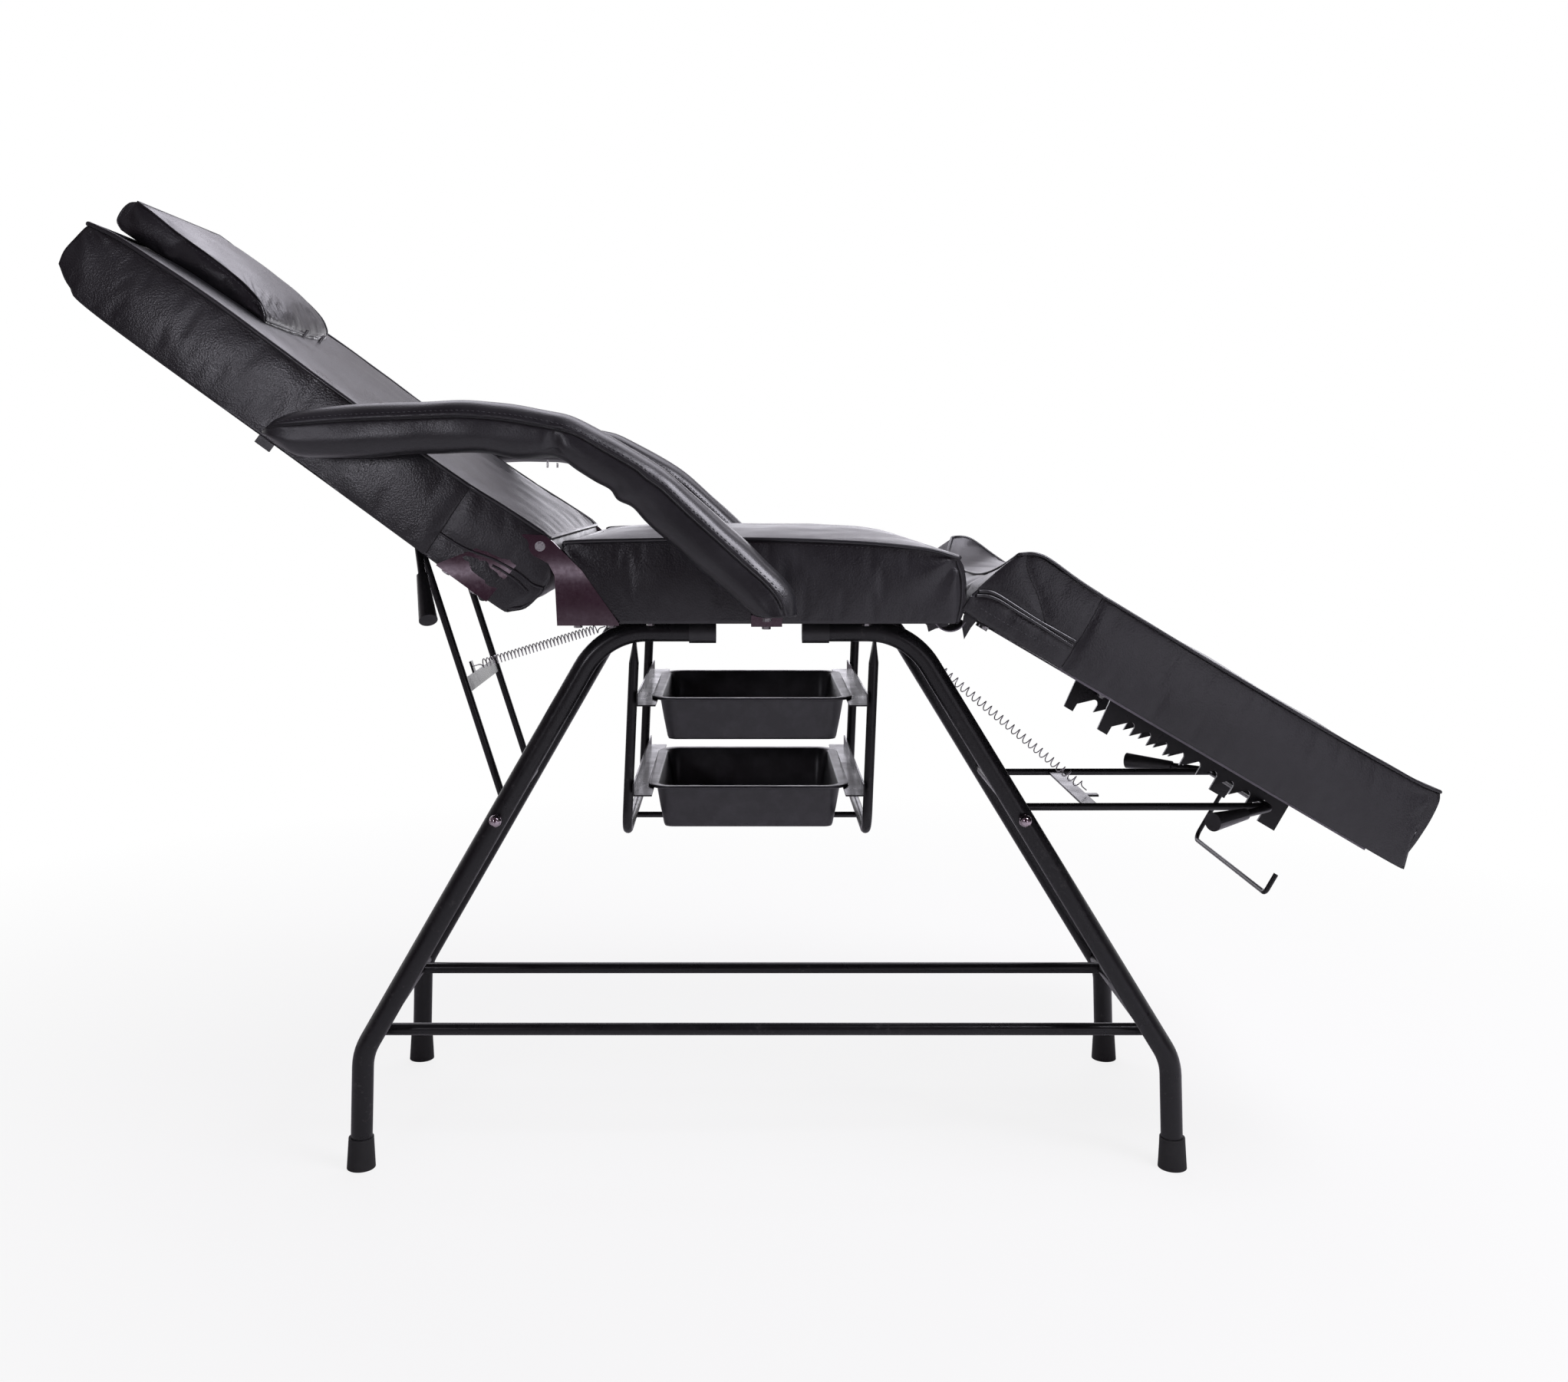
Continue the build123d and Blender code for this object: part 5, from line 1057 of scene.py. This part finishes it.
SEAT_TAB = [(192, 719), (197, 714), (199, 706), (208, 710), (222, 713), (226, 719)]
LEG_TAB = [(-4, 8), (-1, -6), (4, -18), (14, -30), (14, -14), (16, 0), (10, 6)]
LEG_HEM = [(130, -3.6), (570, -3.6), (570, -0.9), (130, -0.9)]
TAB_THICKNESS = 1.4 * MM
HEM_WIDTH = 9 * MM


def tab(name, finish, body, place, outline, across, thickness=TAB_THICKNESS):
    """A flat piece of cover with the given outline, upright along the chair."""
    flat = np.asarray(outline, float) * MM
    rings = np.stack([place(flat[:, 0], across + side * thickness / 2, flat[:, 1]) for side in (-1, 1)])
    thing = piece(name, rings, shell(rings), finish, body, smooth=False)


def tabs():
    for sign, side in SIDES:
        tab("seat_tab_" + side, COVER, "frame", on_seat, SEAT_TAB, sign * 280 * MM)
        tab("leg_rest_tab_" + side, COVER, "leg_rest", on_leg_rest, LEG_TAB, sign * 282 * MM)
        tab("leg_rest_hem_" + side, LINING, "leg_rest", on_leg_rest, LEG_HEM, sign * 286 * MM, HEM_WIDTH)


def give_leg_rest():
    """Gives each soft piece of the leg rest its own copy of its mesh."""
    far_end = on_leg_rest(612 * MM, 0.0, 50 * MM).tolist()
    for thing in list(bpy.data.objects):
        if thing.name.startswith("leg_rest_") and thing.name not in frame["nodes"]:
            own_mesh(thing)


# Trays

def rounded_ring(width, length, corner, height, per_corner=10):
    """A rounded rectangle's outline as points at one height."""
    ring = []
    for turn, (sx, sy) in enumerate(((1, 1), (-1, 1), (-1, -1), (1, -1))):
        angle = turn * math.pi / 2 + np.linspace(0, math.pi / 2, per_corner)
        centre = np.array([sx * (width / 2 - corner), sy * (length / 2 - corner)])
        ring.append(centre + corner * np.stack([np.cos(angle), np.sin(angle)], axis=-1))
    loop = np.concatenate(ring)
    return np.concatenate([loop, np.full((len(loop), 1), height)], axis=1)


# Outwards from the mouth and up from the rim, in millimetres
TRAY_SECTION = [
    (-27.5, -58.0), (-14.5, -58.0), (-10.8, -57.2), (-9.4, -54.0), (-4.5, -30.0), (0.0, -5.0), (1.0, -2.6),
    (3.0, -2.2), (8.0, -2.2), (10.4, -3.0), (11.4, -2.0), (11.4, -0.6), (10.6, 0.3), (8.0, 0.4), (2.0, 0.4),
    (-1.2, 0.0), (-2.5, -1.8), (-6.8, -29.0), (-11.8, -53.0), (-13.0, -54.8), (-15.5, -55.5), (-27.5, -55.5),
]
TRAY_RIMS = 22 * MM
TRAY_CORNER = 22 * MM
TRAY_LEAST_CORNER = 6 * MM


def tray(name, node, body):
    """A moulded tray: its section carried round, from the outside up, over the rim and down inside."""
    low, high = (np.array(corner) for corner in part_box(node))
    width, length = (high - low)[:2] - TRAY_RIMS
    middle = (low + high) / 2
    rings = []
    for outward, height in TRAY_SECTION:
        grow = outward * MM
        corner = max(TRAY_CORNER + grow, TRAY_LEAST_CORNER)
        ring = rounded_ring(width + grow * 2, length + grow * 2, corner, high[2] + height * MM)
        rings.append(ring + [middle[0], middle[1], 0])
    rings = np.array(rings)
    thing = piece(name, rings, shell(rings), TRAY_PLASTIC, body)
    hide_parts(node)


seat()
back()
leg_rest()
pillow()
tabs()
armrest(-1, "armrest_pad_right", "armrest_right")
armrest(1, "armrest_pad_left", "armrest_left")
give_leg_rest()
tray("tray_upper_shell", "tray_upper", "upper_tray")
tray("tray_lower_shell", "tray_lower", "lower_tray")


# Room, light and camera

WHITE = (1.0, 1.0, 1.0)
FLOOR_HALF = 9.0
FLOOR_COLOUR = (0.82, 0.82, 0.82)

# Two distances from the floor's middle, and how white the camera sees it there
FLOOR_FADE = (0.7, 2.2, 0.84, 1.0)

# The room's colours, and how the one behind takes over along Y and fades with height
ROOM_FRONT = (0.052, 0.028, 0.042)
ROOM_BEHIND = (0.98, 0.94, 1.06)
ROOM_DEPTH = (-0.45, 0.4)
ROOM_HEIGHT = (0.05, 0.24, 1.0, 0.14)

# Each lamp's name, place, aim, width and height, and power in watts
LIGHT_COLOUR = (0.92, 0.90, 1.0)
LAMPS = [
    ("light_behind", (0.1, 1.9, 2.9), (0.0, 0.0, 0.7), (3.2, 1.6), 38),
    ("light_low_behind", (0.1, 3.0, 1.05), (0.1, 0.0, 1.0), (5.0, 0.6), 20),
    ("light_above_foot", (1.5, -0.9, 2.5), (0.1, -0.2, 0.8), (1.2, 1.2), 58),
    ("light_front_left", (-2.2, -2.2, 2.4), (0.0, 0.0, 0.6), (1.6, 1.6), 2),
    ("light_front_right", (1.3, -2.4, 0.7), (0.2, 0.0, 0.7), (1.3, 0.9), 4),
    ("light_on_back", (-1.06, -2.0, 1.02), (-0.55, -0.3, 0.98), (0.24, 0.24), 3.8),
    ("light_strip", (-0.5, -2.2, 0.672), (-0.3, -0.3, 0.78), (1.0, 0.026), 0.035),
]


def area_light(name, place, aim, size, power):
    lamp = bpy.data.lights.new(name, "AREA")
    lamp.shape = "RECTANGLE"
    lamp.size, lamp.size_y = size
    lamp.energy = power
    lamp.color = LIGHT_COLOUR
    thing = placed(name, lamp)
    thing.location = place
    direction = np.array(place) - np.array(aim)
    flat = math.hypot(direction[0], direction[1])
    thing.rotation_euler = (math.atan2(flat, direction[2]), 0, math.atan2(direction[0], -direction[1]))


def floor():
    """A pale floor that keeps the chair's shadow, and looks whiter to the camera further off."""
    corners = np.array([(-1, -1, 0), (1, -1, 0), (1, 1, 0), (-1, 1, 0)]) * FLOOR_HALF
    mesh = bpy.data.meshes.new("floor")
    mesh.from_pydata(corners.tolist(), [], [(0, 1, 2, 3)])
    placed("floor", mesh)
    surface = Finish("pale_floor", FLOOR_COLOUR, 0.9)
    mesh.materials.append(surface.material)
    away = surface.node("VectorMath", {0: surface.place}, "Value", operation="LENGTH")
    camera_ray = surface.node("LightPath", output="Is Camera Ray")
    lit = Flow(surface, surface.shader.outputs[0])
    sockets = {0: camera_ray * surface.spread(away, *FLOOR_FADE), 1: lit, 2: surface.node("Emission")}
    seen = surface.node("MixShader", sockets)
    surface.feed(surface.tree.nodes["Material Output"].inputs["Surface"], seen)


def room():
    """A world that is bright behind the chair and low down, and dark in front and above.

    The camera and clear things see it white, and mirrors see it white as far as it is bright.
    """
    world = bpy.data.worlds.new("room")
    bpy.context.scene.world = world
    nodes = Nodes(world)
    facing = {0: nodes.node("TexCoord", output="Generated")}
    y, z = (nodes.node("SeparateXYZ", facing, axis) for axis in "YZ")
    behind = nodes.spread(y, *ROOM_DEPTH) * nodes.spread(z, *ROOM_HEIGHT)
    camera_ray, clear_ray, glossy_ray = (
        nodes.node("LightPath", output=f"Is {kind} Ray") for kind in ("Camera", "Transmission", "Glossy")
    )
    white = camera_ray.maths("MAXIMUM", clear_ray).maths("MAXIMUM", glossy_ray * behind)
    shade = nodes.blend(behind, ROOM_FRONT, ROOM_BEHIND)
    nodes.feed(nodes.tree.nodes["Background"].inputs["Color"], nodes.blend(white, shade, WHITE))


def camera():
    """The camera of the photograph: level, looking along +Y, with its vanishing point off the middle."""
    lens = bpy.data.cameras.new("camera")
    lens.sensor_fit = "HORIZONTAL"
    lens.sensor_width = SENSOR
    lens.lens = FOCAL_PIXELS / PHOTO_WIDTH * SENSOR
    lens.shift_x = (PHOTO_WIDTH / 2 - VANISH_X) / PHOTO_WIDTH
    lens.shift_y = (VANISH_Y - PHOTO_HEIGHT / 2) / PHOTO_WIDTH
    lens.clip_start = NEAREST_SEEN
    thing = placed("camera", lens)
    thing.location = CAMERA_PLACE
    thing.rotation_euler = (math.pi / 2, 0, 0)
    bpy.context.scene.camera = thing


bpy.context.scene.view_settings.view_transform = "Standard"
floor()
room()
for lamp in LAMPS:
    area_light(*lamp)
camera()
